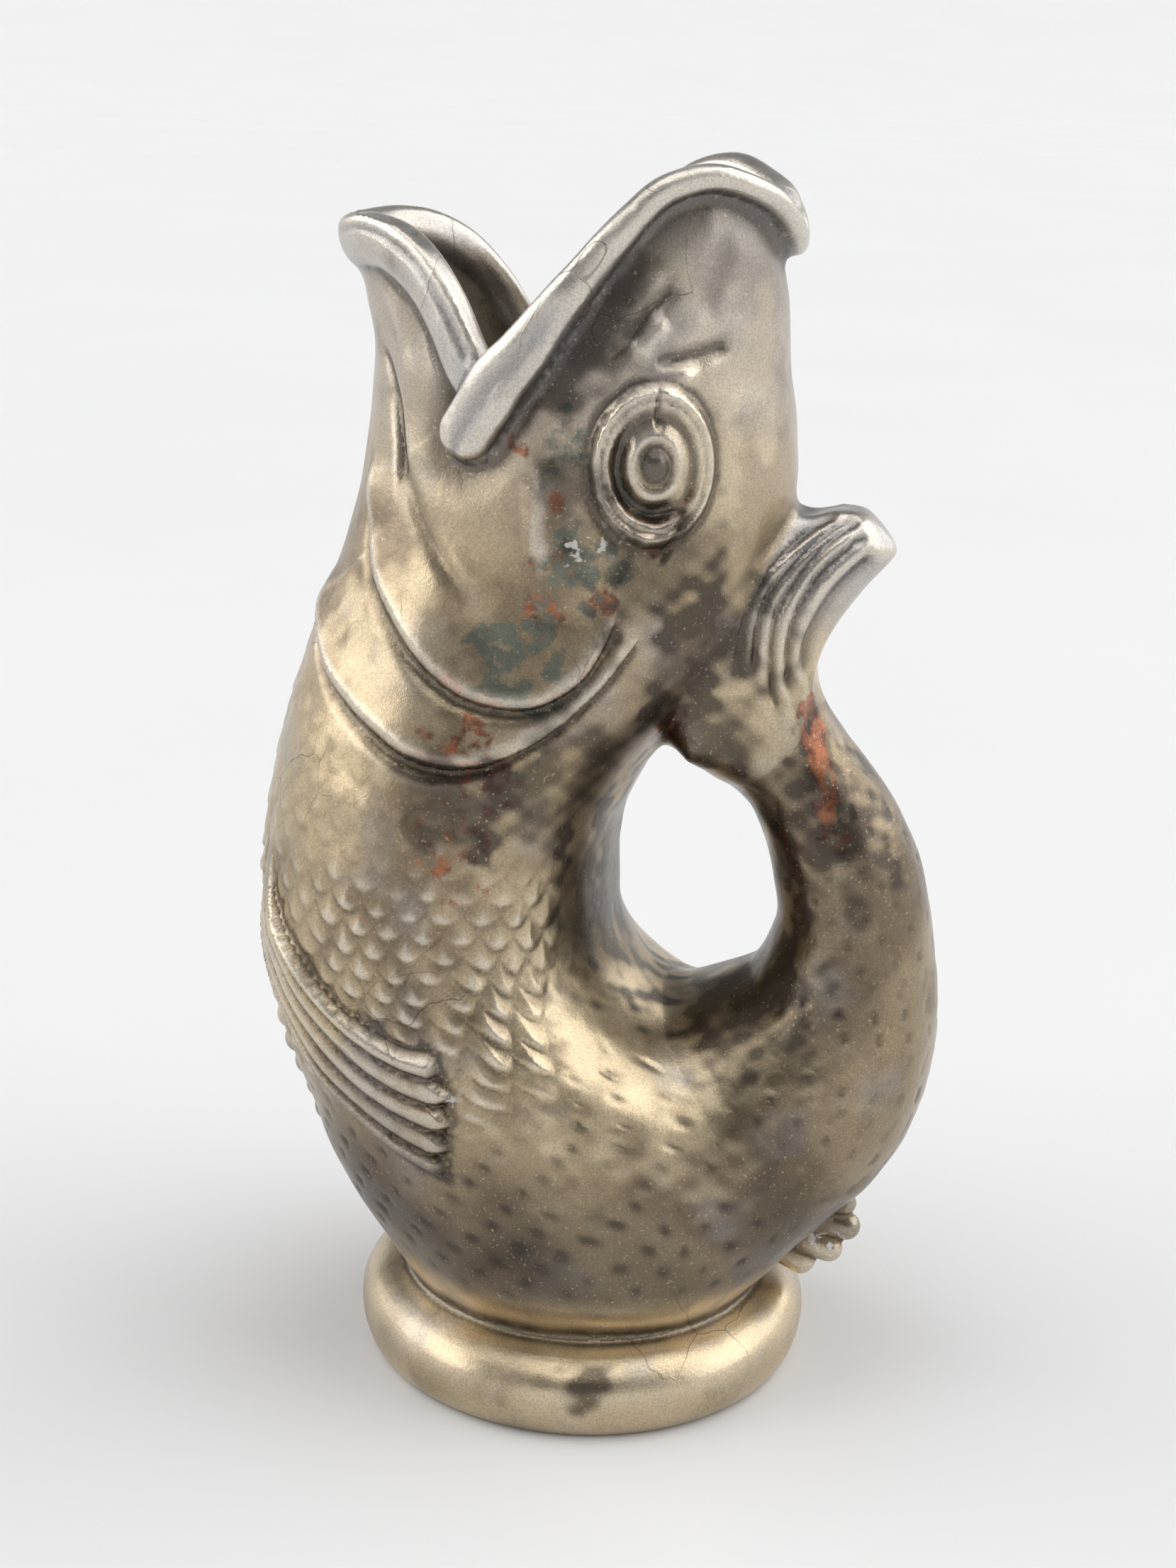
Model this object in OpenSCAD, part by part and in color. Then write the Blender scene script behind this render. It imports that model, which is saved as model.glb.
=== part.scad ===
// Gurgle jug: a hollow fish standing on a round foot, its open mouth the spout and its tail the handle

/* [Overall] */
// Height from the table to the top of the upper jaw
jug_h = 241; // [210:1:275]
// Reach of the belly in front of the middle of the foot
belly_reach = 68; // [62:0.5:76]
// Reach of the tail behind the middle of the foot
tail_reach = 69; // [64:0.5:78]
// Width of the belly from side to side
belly_w = 90; // [80:1:104]
// Thickness of the fired wall
wall = 4.5; // [3:0.1:6]

/* [Foot] */
// Diameter of the foot where it bulges most
foot_d = 93; // [86:0.5:102]
// Height of the foot up to the crease under the belly
foot_h = 17; // [13:0.5:21]
// Diameter of the crease between the foot and the belly
seat_d = 72; // [64:0.5:78]
// Width of the flat ring that touches the table
foot_flat = 9; // [5:0.5:12]
// Depth of the hollow under the foot
foot_hollow = 6; // [3:0.5:9]

/* [Lips] */
// Width of the rolled lower lip, up the side of the jaw
lower_lip_w = 10; // [7:0.25:12]
// Width of the rolled upper lip
upper_lip_w = 8.5; // [7:0.25:11]
// How much narrower the lower jaw gets towards its tip, as a share of its width
jaw_narrowing = 0.35; // [0.1:0.05:0.5]
// How far the lips roll out from the outside of the head
lip_roll = 3; // [2:0.1:4.5]

/* [Gills and eyes] */
// Step at the rear edge of the gill covers
gill_step = 2.6; // [1.5:0.1:4]
// Step at the rear edge of the smaller gill plates
plate_step = 1.8; // [1:0.1:3]
// Length of an eye from its front to its back
eye_l = 21; // [18:0.5:25]
// Height of an eye
eye_h = 26.5; // [22:0.5:30]
// How far the pupil stands out of the head
eye_out = 4.2; // [2.5:0.1:6]

/* [Tail] */
// Thickness of the tail handle at the middle of the grip, seen from the side
grip_t = 32; // [28:0.5:37]
// Width of the tail handle at the middle of the grip, seen from behind
grip_w = 36; // [31:0.5:42]
// Width of the tail fin across its ribs, seen from behind
fan_w = 38; // [32:0.5:44]
// Height of the ribs of the tail fin
fan_rib = 1.5; // [0.8:0.1:2.2]
// Reach of the tail fin's tip behind the middle of the foot
fan_reach = 54.5; // [50:0.5:60]
// Number of ribs on each side of the tail fin
fan_ribs = 9; // [7:1:11]

/* [Fins] */
// How far the side fins stand out of the belly
fin_out = 2.8; // [1.8:0.1:4]
// Height of the ribs of the side fins
fin_rib = 1.6; // [0.8:0.1:2.2]
// Number of ribs of a side fin
fin_ribs = 6; // [5:1:7]
// How far the lobes of the pelvic fin stand out of the belly
pelvic_out = 4; // [2.5:0.25:6]
// How far the lobes of the anal fin stand out of the belly
anal_out = 8; // [5:0.25:10]

/* [Hidden] */

// Depth to which a raised piece is drawn into the body before the body is cut out of it
bite = 2;
seat_r = seat_d / 2;

bronze = [0.56, 0.45, 0.31];
dark_bronze = [0.42, 0.34, 0.24];
pewter = [0.60, 0.57, 0.54];

// Height of a share of the fish, from the crease over the foot to the top of the jaw
function up(share) = foot_h + share * (jug_h - foot_h);

// The trunk, station by station up the fish: height, front, widest place, back and half width,
// as shares of the fish's height, of the belly's reach three times, and of half its width
TRUNK_SHARES = [
    [0.040, 0.630, 0.00, 0.64, 0.900],
    [0.094, 0.750, -0.03, 0.73, 0.955],
    [0.147, 0.830, -0.07, 0.73, 0.990],
    [0.210, 0.905, -0.18, 0.57, 1.000],
    [0.268, 0.950, -0.32, 0.26, 1.000],
    [0.326, 0.972, -0.44, 0.085, 0.990],
    [0.393, 0.978, -0.47, 0.060, 0.967],
    [0.451, 0.965, -0.44, 0.080, 0.933],
    [0.509, 0.925, -0.37, 0.18, 0.890],
    [0.571, 0.868, -0.25, 0.34, 0.845],
    [0.638, 0.788, -0.15, 0.46, 0.790],
    [0.705, 0.722, -0.09, 0.51, 0.745],
    [0.772, 0.684, -0.07, 0.51, 0.710],
    [0.839, 0.676, -0.09, 0.48, 0.690],
    [0.897, 0.715, -0.10, 0.465, 0.667],
    [0.951, 0.765, -0.12, 0.475, 0.633],
    [1.009, 0.790, -0.12, 0.50, 0.580],
];
trunk = concat(
    [[foot_h, -seat_r, 0, seat_r, seat_r]],
    [
        for (s = TRUNK_SHARES)
            [up(s[0]), -s[1] * belly_reach, s[2] * belly_reach, s[3] * belly_reach, s[4] * belly_w / 2]
    ]
);

// The edge of the mouth round the head: degrees from the back, and height as a share
RIM_SHARES = [
    [0, 0.930], [12, 0.943], [25, 0.960], [40, 0.974], [52, 0.979], [62, 0.968], [71, 0.940],
    [81, 0.908], [88, 0.884], [94, 0.862], [100, 0.838], [107, 0.822], [113, 0.824], [117, 0.836],
    [121, 0.858], [126, 0.886], [132, 0.906], [141, 0.919], [153, 0.922], [180, 0.915],
];

// Smooth value in column k of a table at key x, by a cubic through the neighbouring rows
function slope(t, i, k) =
    let (a = max(i - 1, 0), b = min(i + 1, len(t) - 1))
    (t[b][k] - t[a][k]) / (t[b][0] - t[a][0]);
function row_below(t, x) = max([for (i = [0:1:len(t) - 2]) (i == 0 || t[i][0] <= x) ? i : 0]);
function smooth(t, x, k) =
    let (
        i = row_below(t, x),
        h = t[i + 1][0] - t[i][0],
        u = min(max((x - t[i][0]) / h, 0), 1)
    )
    t[i][k] * (1 + 2 * u) * pow(1 - u, 2) + h * slope(t, i, k) * u * pow(1 - u, 2)
        + t[i + 1][k] * u * u * (3 - 2 * u) + h * slope(t, i + 1, k) * u * u * (u - 1);

// How much the lower jaw narrows to its tip, growing up the head
function narrowing(z) =
    let (t = min(max((z - up(0.72)) / (up(0.95) - up(0.72)), 0), 1))
    jaw_narrowing * t * t * (3 - 2 * t);

// Point of the trunk's skin: degrees round from the back, height, and distance out of the skin
function skin_at(a, z, out = 0) =
    let (
        mid = smooth(trunk, z, 2),
        reach = cos(a) < 0 ? mid - smooth(trunk, z, 1) : smooth(trunk, z, 3) - mid
    )
    let (half_w = smooth(trunk, z, 4) * (cos(a) < 0 ? 1 - narrowing(z) * pow(cos(a), 2) : 1))
    [mid + (reach + out) * cos(a), (half_w + out) * sin(a), z];
function rim_z(a) = up(smooth(RIM_SHARES, abs(a), 1));

// Degrees round the trunk at which its skin has points, closer together at the corners of the mouth
SIDE_DEGREES = [0, 13, 26, 38, 50, 60, 70, 80, 90, 98, 106, 113, 120, 129, 140, 153, 166];
round_degrees = concat(SIDE_DEGREES, [180], [for (i = [len(SIDE_DEGREES) - 1:-1:1]) 360 - SIDE_DEGREES[i]]);
function trunk_loop(z, out = 0) = [for (a = round_degrees) skin_at(a, z, out)];

// Two triangles of a four-sided face, whose corners run clockwise seen from outside
function quads(a, b, c, d) = [[a, b, c], [a, c, d]];
function between_loops(loops, n, ring) = [
    for (i = [0:1:(ring ? loops - 1 : loops - 2)])
        for (j = [0:1:n - 1])
            each quads(
                i * n + j,
                ((i + 1) % loops) * n + j,
                ((i + 1) % loops) * n + (j + 1) % n,
                i * n + (j + 1) % n
            )
];
function flatten(loops) = [for (l = loops) each l];

// A solid through closed loops, with flat ends
module loft(loops) {
    n = len(loops[0]);
    m = len(loops);
    polyhedron(
        flatten(loops),
        concat(
            between_loops(m, n, false),
            [[for (j = [0:n - 1]) j]],
            [[for (j = [n - 1:-1:0]) (m - 1) * n + j]]
        )
    );
}

// A solid through closed loops that come round to the first again
module ring_loft(loops) {
    polyhedron(flatten(loops), between_loops(len(loops), len(loops[0]), true));
}

// A curved plate: rows of outer points and rows of inner points, closed along all four edges
module plate(outer, inner) {
    c = len(outer[0]);
    m = len(outer);
    n = 2 * c;
    polyhedron(
        flatten([for (i = [0:m - 1]) concat(outer[i], [for (j = [c - 1:-1:0]) inner[i][j]])]),
        concat(
            between_loops(m, n, false),
            [for (j = [0:c - 2]) each quads(j, j + 1, n - 2 - j, n - 1 - j)],
            [for (j = [0:c - 2]) each quads((m - 1) * n + j, m * n - 1 - j, m * n - 2 - j, (m - 1) * n + j + 1)]
        )
    );
}

// Joins what is drawn in it into one watertight mesh
module one_mesh() {
    resize([0, 0, 0]) children();
}

// Draws a piece of the near side again on the far side
module far_side() {
    mirror([0, 1, 0]) children();
}

function steps(from, to, n) = [for (i = [0:n]) from + (to - from) * i / n];
function between(a, b, t) = a + (b - a) * t;
function unit(v) = v / norm(v);

// Where the head is set on the belly, behind the gills, and how high the trunk is drawn for the mouth
neck_z = up(0.535);
open_z = up(1.05);
belly_levels = steps(foot_h, neck_z, 14);
head_levels = steps(neck_z, open_z, 13);

// The trunk filled in, from the foot to over the mouth
module trunk_core() {
    loft([for (z = concat(belly_levels, [for (i = [1:len(head_levels) - 1]) head_levels[i]])) trunk_loop(z)]);
}
function shell_loops(levels) = concat(
    [for (z = levels) trunk_loop(z)],
    [for (i = [len(levels) - 1:-1:0]) trunk_loop(levels[i], -wall)]
);

// What the open mouth takes away from the head, seen from the side
module mouth_space() {
    rim = [for (a = [180:-4:0]) skin_at(a, rim_z(a))];
    rotate([90, 0, 0])
        linear_extrude(2 * belly_w, center = true)
            polygon(concat(
                [[-2 * belly_reach, rim[0][2]]],
                [for (p = rim) [p[0], p[2]]],
                [[2 * tail_reach, rim[len(rim) - 1][2]], [2 * tail_reach, 2 * jug_h], [-2 * belly_reach, 2 * jug_h]]
            ));
}

// The foot: a rolled ring with a floor, open above to the belly
foot_edge = 4;
foot_r = foot_d / 2;
foot_mid = foot_h / 2;
foot_roll = [for (t = [90:-10:0]) [seat_r + (foot_r - seat_r) * cos(t), foot_mid + foot_mid * sin(t)]];
foot_under = [for (t = [10:10:90]) [foot_r - foot_edge + foot_edge * cos(t), foot_mid - foot_mid * sin(t)]];
module foot_core() {
    rotate_extrude($fn = 96) polygon(concat([[0, foot_h]], foot_roll, foot_under, [[0, 0]]));
}
module foot_ring() {
    in_r = seat_r - wall;
    ring_r = foot_r - foot_edge - foot_flat;
    hollow_top = foot_hollow + wall;
    hollow_mid = (foot_h + hollow_top) / 2;
    inside = [for (t = [-90:15:90]) [in_r + wall * cos(t) / 2, hollow_mid + (foot_h - hollow_mid) * sin(t)]];
    color(pewter)
        rotate_extrude($fn = 96)
            polygon(concat(
                [[0, hollow_top]],
                inside,
                foot_roll,
                foot_under,
                [[ring_r, 0], [ring_r - foot_hollow / 2, foot_hollow], [0, foot_hollow]]
            ));
}

module belly_shell() {
    color(bronze)
        one_mesh()
            difference() {
                ring_loft(shell_loops(belly_levels));
                tail_tube(-wall, BORE_END);
            }
}

module head_shell() {
    color(bronze)
        one_mesh()
            difference() {
                ring_loft(shell_loops(head_levels));
                mouth_space();
            }
}

// Lips: an oval swept round the mouth, rolled over the wall and out past the skin
lip_points = 10;
// Tiny step in degrees, and the same step in height, with which slopes along the skin are taken
step_a = 1;
function skin_way(a, z) = unit(skin_at(a, z * 1.005) - skin_at(a, z));
function skin_out(a, z) =
    let (round = unit(skin_at(a + step_a, z) - skin_at(a - step_a, z)), out = cross(round, skin_way(a, z)))
    unit(out);
function lip_loop(a, z, along, w, low, high) =
    let (
        out = skin_out(a, z),
        rise = unit(cross(along, out)),
        mid = skin_at(a, z) + out * (high + low) / 2
    )
    [
        for (j = [0:lip_points - 1])
            let (t = 360 * j / lip_points)
            mid + out * cos(t) * (high - low) / 2 + rise * sin(t) * w / 2
    ];

// Rounding at the two ends of a lip, as a share of its full section
function end_share(i, n) = let (k = min(i, n - i)) k == 0 ? 0.45 : k == 1 ? 0.85 : 1;

// Path of a lip round the head: degrees and height
LOWER_DEGREES = [109, 112, 115, 119, 124, 131, 140, 150, 160, 170];
lower_path = concat(
    [for (a = LOWER_DEGREES) [a, rim_z(a)]],
    [[180, rim_z(180)]],
    [for (i = [len(LOWER_DEGREES) - 1:-1:0]) [360 - LOWER_DEGREES[i], rim_z(LOWER_DEGREES[i])]]
);
// The ends of the upper lip, which lap over the cheeks below the corners of the mouth
LAP_SHARES = [[113, 0.774], [113, 0.790], [110.5, 0.808]];
UPPER_DEGREES = [105, 98.5, 90, 82, 74, 67, 60, 50, 40, 28, 14];
upper_half = concat([for (s = LAP_SHARES) [s[0], up(s[1])]], [for (a = UPPER_DEGREES) [a, rim_z(a)]]);
upper_path = concat(
    [for (p = upper_half) [-p[0], p[1]]],
    [[0, rim_z(0)]],
    [for (i = [len(upper_half) - 1:-1:0]) upper_half[i]]
);

module lip_sweep(path, w, low, high) {
    n = len(path) - 1;
    places = [for (p = path) skin_at(p[0], p[1])];
    loft([
        for (i = [0:n])
            let (
                along = unit(places[min(i + 1, n)] - places[max(i - 1, 0)]),
                s = end_share(i, n),
                mid = (low + high) / 2
            )
            lip_loop(path[i][0], path[i][1], along, w * s, mid + (low - mid) * s, mid + (high - mid) * s)
    ]);
}

// The trunk's wall and what lies behind it, below the edge of the mouth
module behind_wall() {
    difference() {
        ring_loft(concat(
            [for (z = head_levels) trunk_loop(z)],
            [for (i = [len(head_levels) - 1:-1:0]) trunk_loop(head_levels[i], -3 * wall)]
        ));
        mouth_space();
    }
}

module lower_lip() {
    color(pewter)
        one_mesh()
            difference() {
                lip_sweep(lower_path, lower_lip_w, -wall, lip_roll);
                behind_wall();
                lip_sweep(upper_path, upper_lip_w, -wall, lip_roll);
            }
}

module upper_lip() {
    color(pewter)
        one_mesh()
            difference() {
                lip_sweep(upper_path, upper_lip_w, -wall, lip_roll);
                behind_wall();
            }
}

// Gill plates on the near side: edges as degrees from the back and height as a share
GILL_REAR_SHARES = [
    [168, 0.665], [163, 0.625], [154, 0.600], [143, 0.580], [131, 0.562], [117, 0.545], [101, 0.527],
    [86, 0.522], [75, 0.533], [68, 0.558], [62, 0.600], [58, 0.645],
];
PLATE_REAR_SHARES = [
    [157, 0.770], [153, 0.730], [146, 0.696], [136, 0.659], [125, 0.632], [113, 0.605], [98, 0.581],
    [85, 0.573], [76, 0.578], [70, 0.599], [68, 0.632], [68, 0.668],
];
CHEEK_SHARES = [
    [150, 0.815], [146, 0.800], [141, 0.775], [135, 0.750], [128, 0.725], [119, 0.700], [110, 0.685],
    [101, 0.680], [93, 0.682], [86, 0.690], [81, 0.700], [77, 0.712],
];
gill_columns = 5;

// Rows of points from a front edge to a rear edge, raised from one height to another
function raised(front, rear, low, high, near) = [
    for (i = [0:len(rear) - 1])
        [
            for (j = [0:gill_columns])
                let (
                    t = j / gill_columns,
                    a = between(front[i][0], rear[i][0], t),
                    share = between(front[i][1], rear[i][1], t),
                    edge = min(i, len(rear) - 1 - i) == 0 ? 0.6 : 1
                )
                skin_at(-a, up(share), near ? between(low, high, t) * edge : -bite)
        ]
];
module gill_plate_solid(front, rear, low, high) {
    plate(raised(front, rear, low, high, true), raised(front, rear, low, high, false));
}
under_step = gill_step / 2;
module gill_cover() {
    one_mesh()
        difference() {
            gill_plate_solid(PLATE_REAR_SHARES, GILL_REAR_SHARES, under_step, gill_step);
            trunk_core();
        }
}
module gill_plate() {
    one_mesh()
        difference() {
            gill_plate_solid(CHEEK_SHARES, PLATE_REAR_SHARES, plate_step / 3, under_step + plate_step);
            trunk_core();
            gill_plate_solid(PLATE_REAR_SHARES, GILL_REAR_SHARES, under_step, gill_step);
        }
}
module left_gill_cover() {
    color(bronze) gill_cover();
}
module right_gill_cover() {
    color(bronze) far_side() gill_cover();
}
module left_gill_plate() {
    color(bronze) gill_plate();
}
module right_gill_plate() {
    color(bronze) far_side() gill_plate();
}

// Eye: rings of points round its middle, whose heights make the rim, the groove and the domed pupil
eye_degrees = 66;
eye_share = 0.770;
EYE_PROFILE_SHARES = [[1, 0], [0.92, 0.55], [0.80, 0.60], [0.70, 0.30], [0.58, 0.35], [0.45, 0.85], [0.25, 1], [0.04, 0.9]];
eye_n = 20;
function eye_ring(r, out) = [
    for (i = [0:eye_n - 1])
        let (
            t = 360 * i / eye_n,
            z = up(eye_share) + r * sin(t) * eye_h / 2,
            round_r = smooth(trunk, z, 4),
            a = eye_degrees - r * cos(t) * eye_l / 2 / round_r * 180 / PI
        )
        skin_at(-a, z, out)
];
module eye() {
    one_mesh()
        difference() {
            loft(concat(
                [for (i = [len(EYE_PROFILE_SHARES) - 1:-1:0]) eye_ring(EYE_PROFILE_SHARES[i][0], -bite)],
                [for (s = EYE_PROFILE_SHARES) eye_ring(s[0], s[1] * eye_out)]
            ));
            trunk_core();
        }
}
module left_eye() {
    color(dark_bronze) eye();
}
module right_eye() {
    color(dark_bronze) far_side() eye();
}

// Tail: place along it, x as a share of its reach, height, half thickness as a share of that at the
// grip and half width likewise, and what the fish's height adds to the half thickness at the root
TAIL_SHARES = [
    [0, 0.00, 0.147, 0.00, 1.80, 0.131], [1, 0.29, 0.150, 0.00, 1.80, 0.131], [2, 0.52, 0.179, 0.50, 1.65, 0.088],
    [3, 0.69, 0.242, 1.36, 1.38, 0], [4, 0.748, 0.332, 1.01, 1.08, 0], [5, 0.712, 0.405, 0.89, 0.95, 0],
    [6, 0.612, 0.468, 0.76, 0.82, 0], [7, 0.50, 0.515, 0.66, 0.72, 0], [8, 0.41, 0.552, 0.56, 0.60, 0],
];
// Places along the tail where it and its bore end
TAIL_END = 7.9;
BORE_END = 6.8;
tail_n = 20;
function spine_at(s) = [smooth(TAIL_SHARES, s, 1) * tail_reach, 0, up(smooth(TAIL_SHARES, s, 2))];
function tail_loop(s, out) =
    let (
        on = unit(spine_at(s + 0.05) - spine_at(s - 0.05)),
        side = [on[2], 0, -on[0]],
        r = smooth(TAIL_SHARES, s, 3) * grip_t / 2 + up(smooth(TAIL_SHARES, s, 5)) - foot_h + out,
        w = smooth(TAIL_SHARES, s, 4) * grip_w / 2 + out
    )
    [for (j = [0:tail_n - 1]) spine_at(s) + side * r * cos(360 * j / tail_n) + [0, w * sin(360 * j / tail_n), 0]];
module tail_tube(out, end) {
    loft([for (s = steps(0.1, end, 16)) tail_loop(s, out)]);
}
module tail_handle() {
    color(bronze)
        one_mesh()
            difference() {
                tail_tube(0, TAIL_END);
                tail_tube(-wall, BORE_END);
                trunk_core();
            }
}

// Tail fin: ribs from the neck of the tail to the free edge, each a curve through three places.
// x is a share of the tail's reach at the neck and of the fin's reach beyond it, and the height is
// a share of the fish's
FAN_SHARES = [
    [0.0, 0.380, 0.480, 0.392, 0.500, 0.228, 0.528],
    [0.2, 0.430, 0.483, 0.418, 0.545, 0.279, 0.600],
    [0.4, 0.480, 0.490, 0.506, 0.575, 0.443, 0.676],
    [0.6, 0.530, 0.499, 0.582, 0.590, 0.665, 0.712],
    [0.8, 0.580, 0.509, 0.633, 0.595, 0.861, 0.712],
    [1.0, 0.630, 0.520, 0.633, 0.596, 1.000, 0.680],
];
fan_rows = 8;
function fan_xz(u, v) =
    let (c = [for (k = [1:6]) smooth(FAN_SHARES, u, k)], w = 1 - v)
    [
        c[0] * w * w * tail_reach + (2 * c[2] * w * v + c[4] * v * v) * fan_reach,
        up(c[1] * w * w + 2 * c[3] * w * v + c[5] * v * v)
    ];
function fan_half(u, v) =
    let (
        at_tail = 0.75 * grip_w / 2 * sqrt(1 - pow((u - 0.5) / 0.52, 2)),
        at_edge = fan_w / 2 * sqrt(1 - pow((u - 0.15) / 0.87, 2)),
        full = between(at_tail, at_edge, min(1, 1.6 * v))
    )
    full * (1 - 0.55 * pow(v, 5));
function fan_side(sign) = [
    for (i = [0:fan_rows])
        [
            for (j = [0:4 * fan_ribs])
                let (
                    u = j / (4 * fan_ribs),
                    v = i / fan_rows,
                    p = fan_xz(u, v),
                    rib = fan_rib * pow(sin(180 * u * fan_ribs), 2) * sin(180 * min(1, 0.15 + v))
                )
                [p[0], sign * (fan_half(u, v) + rib), p[1]]
        ]
];
module tail_fan() {
    color(pewter)
        one_mesh()
            difference() {
                plate(fan_side(-1), fan_side(1));
                trunk_core();
                tail_tube(0, TAIL_END);
            }
}

// Side fin on the near side: its top and its bottom edge, from the root to the tips
FIN_TOP_SHARES = [[0, 147, 0.435], [0.2, 137, 0.375], [0.4, 124, 0.338], [0.6, 112, 0.308], [0.8, 100, 0.284], [1, 87, 0.277]];
FIN_LOW_SHARES = [[0, 152, 0.425], [0.2, 151, 0.340], [0.4, 142, 0.268], [0.6, 131, 0.215], [0.8, 119, 0.180], [1, 107, 0.161]];
fin_columns = 8;
function fin_point(u, v, near) =
    let (
        a = between(smooth(FIN_TOP_SHARES, v, 1), smooth(FIN_LOW_SHARES, v, 1), u),
        share = between(smooth(FIN_TOP_SHARES, v, 2), smooth(FIN_LOW_SHARES, v, 2), u),
        rise = min(1, 0.25 + 1.2 * v),
        rib = fin_rib * abs(sin(180 * u * fin_ribs)),
        edge = u == 0 || u == 1 ? 0.2 : 1
    )
    skin_at(-a, up(share), near ? ((fin_out - fin_rib) * rise + rib * rise) * edge : -bite);
module side_fin() {
    n = 4 * fin_ribs;
    rows = function(near) [for (i = [n:-1:0]) [for (j = [0:fin_columns]) fin_point(i / n, j / fin_columns, near)]];
    one_mesh()
        difference() {
            plate(rows(true), rows(false));
            trunk_core();
        }
}
module left_pectoral_fin() {
    color(bronze) side_fin();
}
module right_pectoral_fin() {
    color(bronze) far_side() side_fin();
}

// Lobes along the middle line: height share, how far out as a share, and radius share
PELVIC_SHARES = [[0.240, 0.85], [0.217, 1.0], [0.194, 1.0], [0.171, 0.9], [0.148, 0.8], [0.126, 0.6]];
lobe_r = 3.8;
module lobe(place, on, out, r) {
    hull() {
        translate(place) sphere(r, $fn = 12);
        translate(place + on * (out - r)) sphere(r * 0.85, $fn = 12);
    }
}
module pelvic_fin() {
    color(dark_bronze)
        one_mesh()
            difference() {
                union() {
                    for (s = PELVIC_SHARES)
                        lobe(skin_at(180, up(s[0])), unit([-1, 0, -0.5]), s[1] * pelvic_out + 1, lobe_r);
                }
                trunk_core();
            }
}

// Lobes of the anal fin: height of the root, reach as a share of the fin's, and slope
ANAL_SHARES = [[0.080, 0.60, 8], [0.060, 1.05, 11], [0.042, 0.98, 21], [0.028, 0.65, 37]];
tip_share = 0.8;
module anal_fin() {
    color(dark_bronze)
        one_mesh()
            difference() {
                union() {
                    for (s = ANAL_SHARES)
                        hull() {
                            root = skin_at(0, up(s[0]));
                            translate(root) sphere(lobe_r, $fn = 12);
                            translate(root + [cos(s[2]), 0, -sin(s[2])] * s[1] * anal_out)
                                sphere(lobe_r * tip_share, $fn = 12);
                        }
                }
                trunk_core();
                tail_tube(0, TAIL_END);
                foot_core();
            }
}

foot_ring();
belly_shell();
head_shell();
lower_lip();
upper_lip();
left_gill_cover();
right_gill_cover();
left_gill_plate();
right_gill_plate();
left_eye();
right_eye();
tail_handle();
tail_fan();
left_pectoral_fin();
right_pectoral_fin();
pelvic_fin();
anal_fin();
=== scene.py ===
import math

import bpy
import numpy as np
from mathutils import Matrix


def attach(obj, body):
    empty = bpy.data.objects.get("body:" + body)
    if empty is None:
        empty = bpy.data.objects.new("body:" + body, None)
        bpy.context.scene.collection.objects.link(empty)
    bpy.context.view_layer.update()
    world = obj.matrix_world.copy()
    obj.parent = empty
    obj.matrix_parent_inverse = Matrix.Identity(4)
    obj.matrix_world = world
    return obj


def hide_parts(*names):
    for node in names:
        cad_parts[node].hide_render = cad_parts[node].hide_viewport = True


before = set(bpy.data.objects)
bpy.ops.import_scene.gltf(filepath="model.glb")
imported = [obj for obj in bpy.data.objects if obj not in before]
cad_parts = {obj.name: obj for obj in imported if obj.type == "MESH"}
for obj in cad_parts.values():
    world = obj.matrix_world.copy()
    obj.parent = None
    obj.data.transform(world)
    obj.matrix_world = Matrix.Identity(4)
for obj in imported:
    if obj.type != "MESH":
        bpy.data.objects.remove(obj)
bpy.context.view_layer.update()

import openvdb
from mathutils import Matrix, Vector

# Sizes in millimetres, the same as the solids have
JUG_H = 241.0
FOOT_H = 17.0
FOOT_R = 46.5
SEAT_R = 36.0
BELLY_REACH = 68.0
TAIL_REACH = 69.0
HALF_W = 45.0
WALL = 4.5
GRIP_T = 32.0
GRIP_W = 36.0
FAN_W = 38.0
JAW_NARROWING = 0.35
NECK_SHARE = 0.535
TO_METRES = 0.001

# Height, front, widest place, back and half width of the trunk, as shares
TRUNK_SHARES = [
    [0.0, 0.529, 0.0, 0.529, 0.8], [0.04, 0.63, 0.0, 0.64, 0.9],
    [0.094, 0.75, -0.03, 0.73, 0.955], [0.147, 0.83, -0.07, 0.73, 0.99],
    [0.21, 0.905, -0.18, 0.57, 1.0], [0.268, 0.95, -0.32, 0.26, 1.0],
    [0.326, 0.972, -0.44, 0.085, 0.99], [0.393, 0.978, -0.47, 0.06, 0.967],
    [0.451, 0.965, -0.44, 0.08, 0.933], [0.509, 0.925, -0.37, 0.18, 0.89],
    [0.571, 0.868, -0.25, 0.34, 0.845], [0.638, 0.788, -0.15, 0.46, 0.79],
    [0.705, 0.722, -0.09, 0.51, 0.745], [0.772, 0.684, -0.07, 0.51, 0.71],
    [0.839, 0.676, -0.09, 0.48, 0.69], [0.897, 0.715, -0.1, 0.465, 0.667],
    [0.951, 0.765, -0.12, 0.475, 0.633], [1.009, 0.79, -0.12, 0.5, 0.58],
]
# Edge of the mouth: degrees round from the back, and height share
RIM_SHARES = [
    [0, 0.93], [12, 0.943], [25, 0.96], [40, 0.974], [52, 0.979], [62, 0.968], [71, 0.94],
    [81, 0.908], [88, 0.884], [94, 0.862], [100, 0.838], [107, 0.822], [113, 0.824], [117, 0.836],
    [121, 0.858], [126, 0.886], [132, 0.906], [141, 0.919], [153, 0.922], [180, 0.915],
]
# Lap of the upper lip over the cheek
LAP_SHARES = [[112.8, 0.785], [110.6, 0.796], [107.8, 0.809]]
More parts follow.
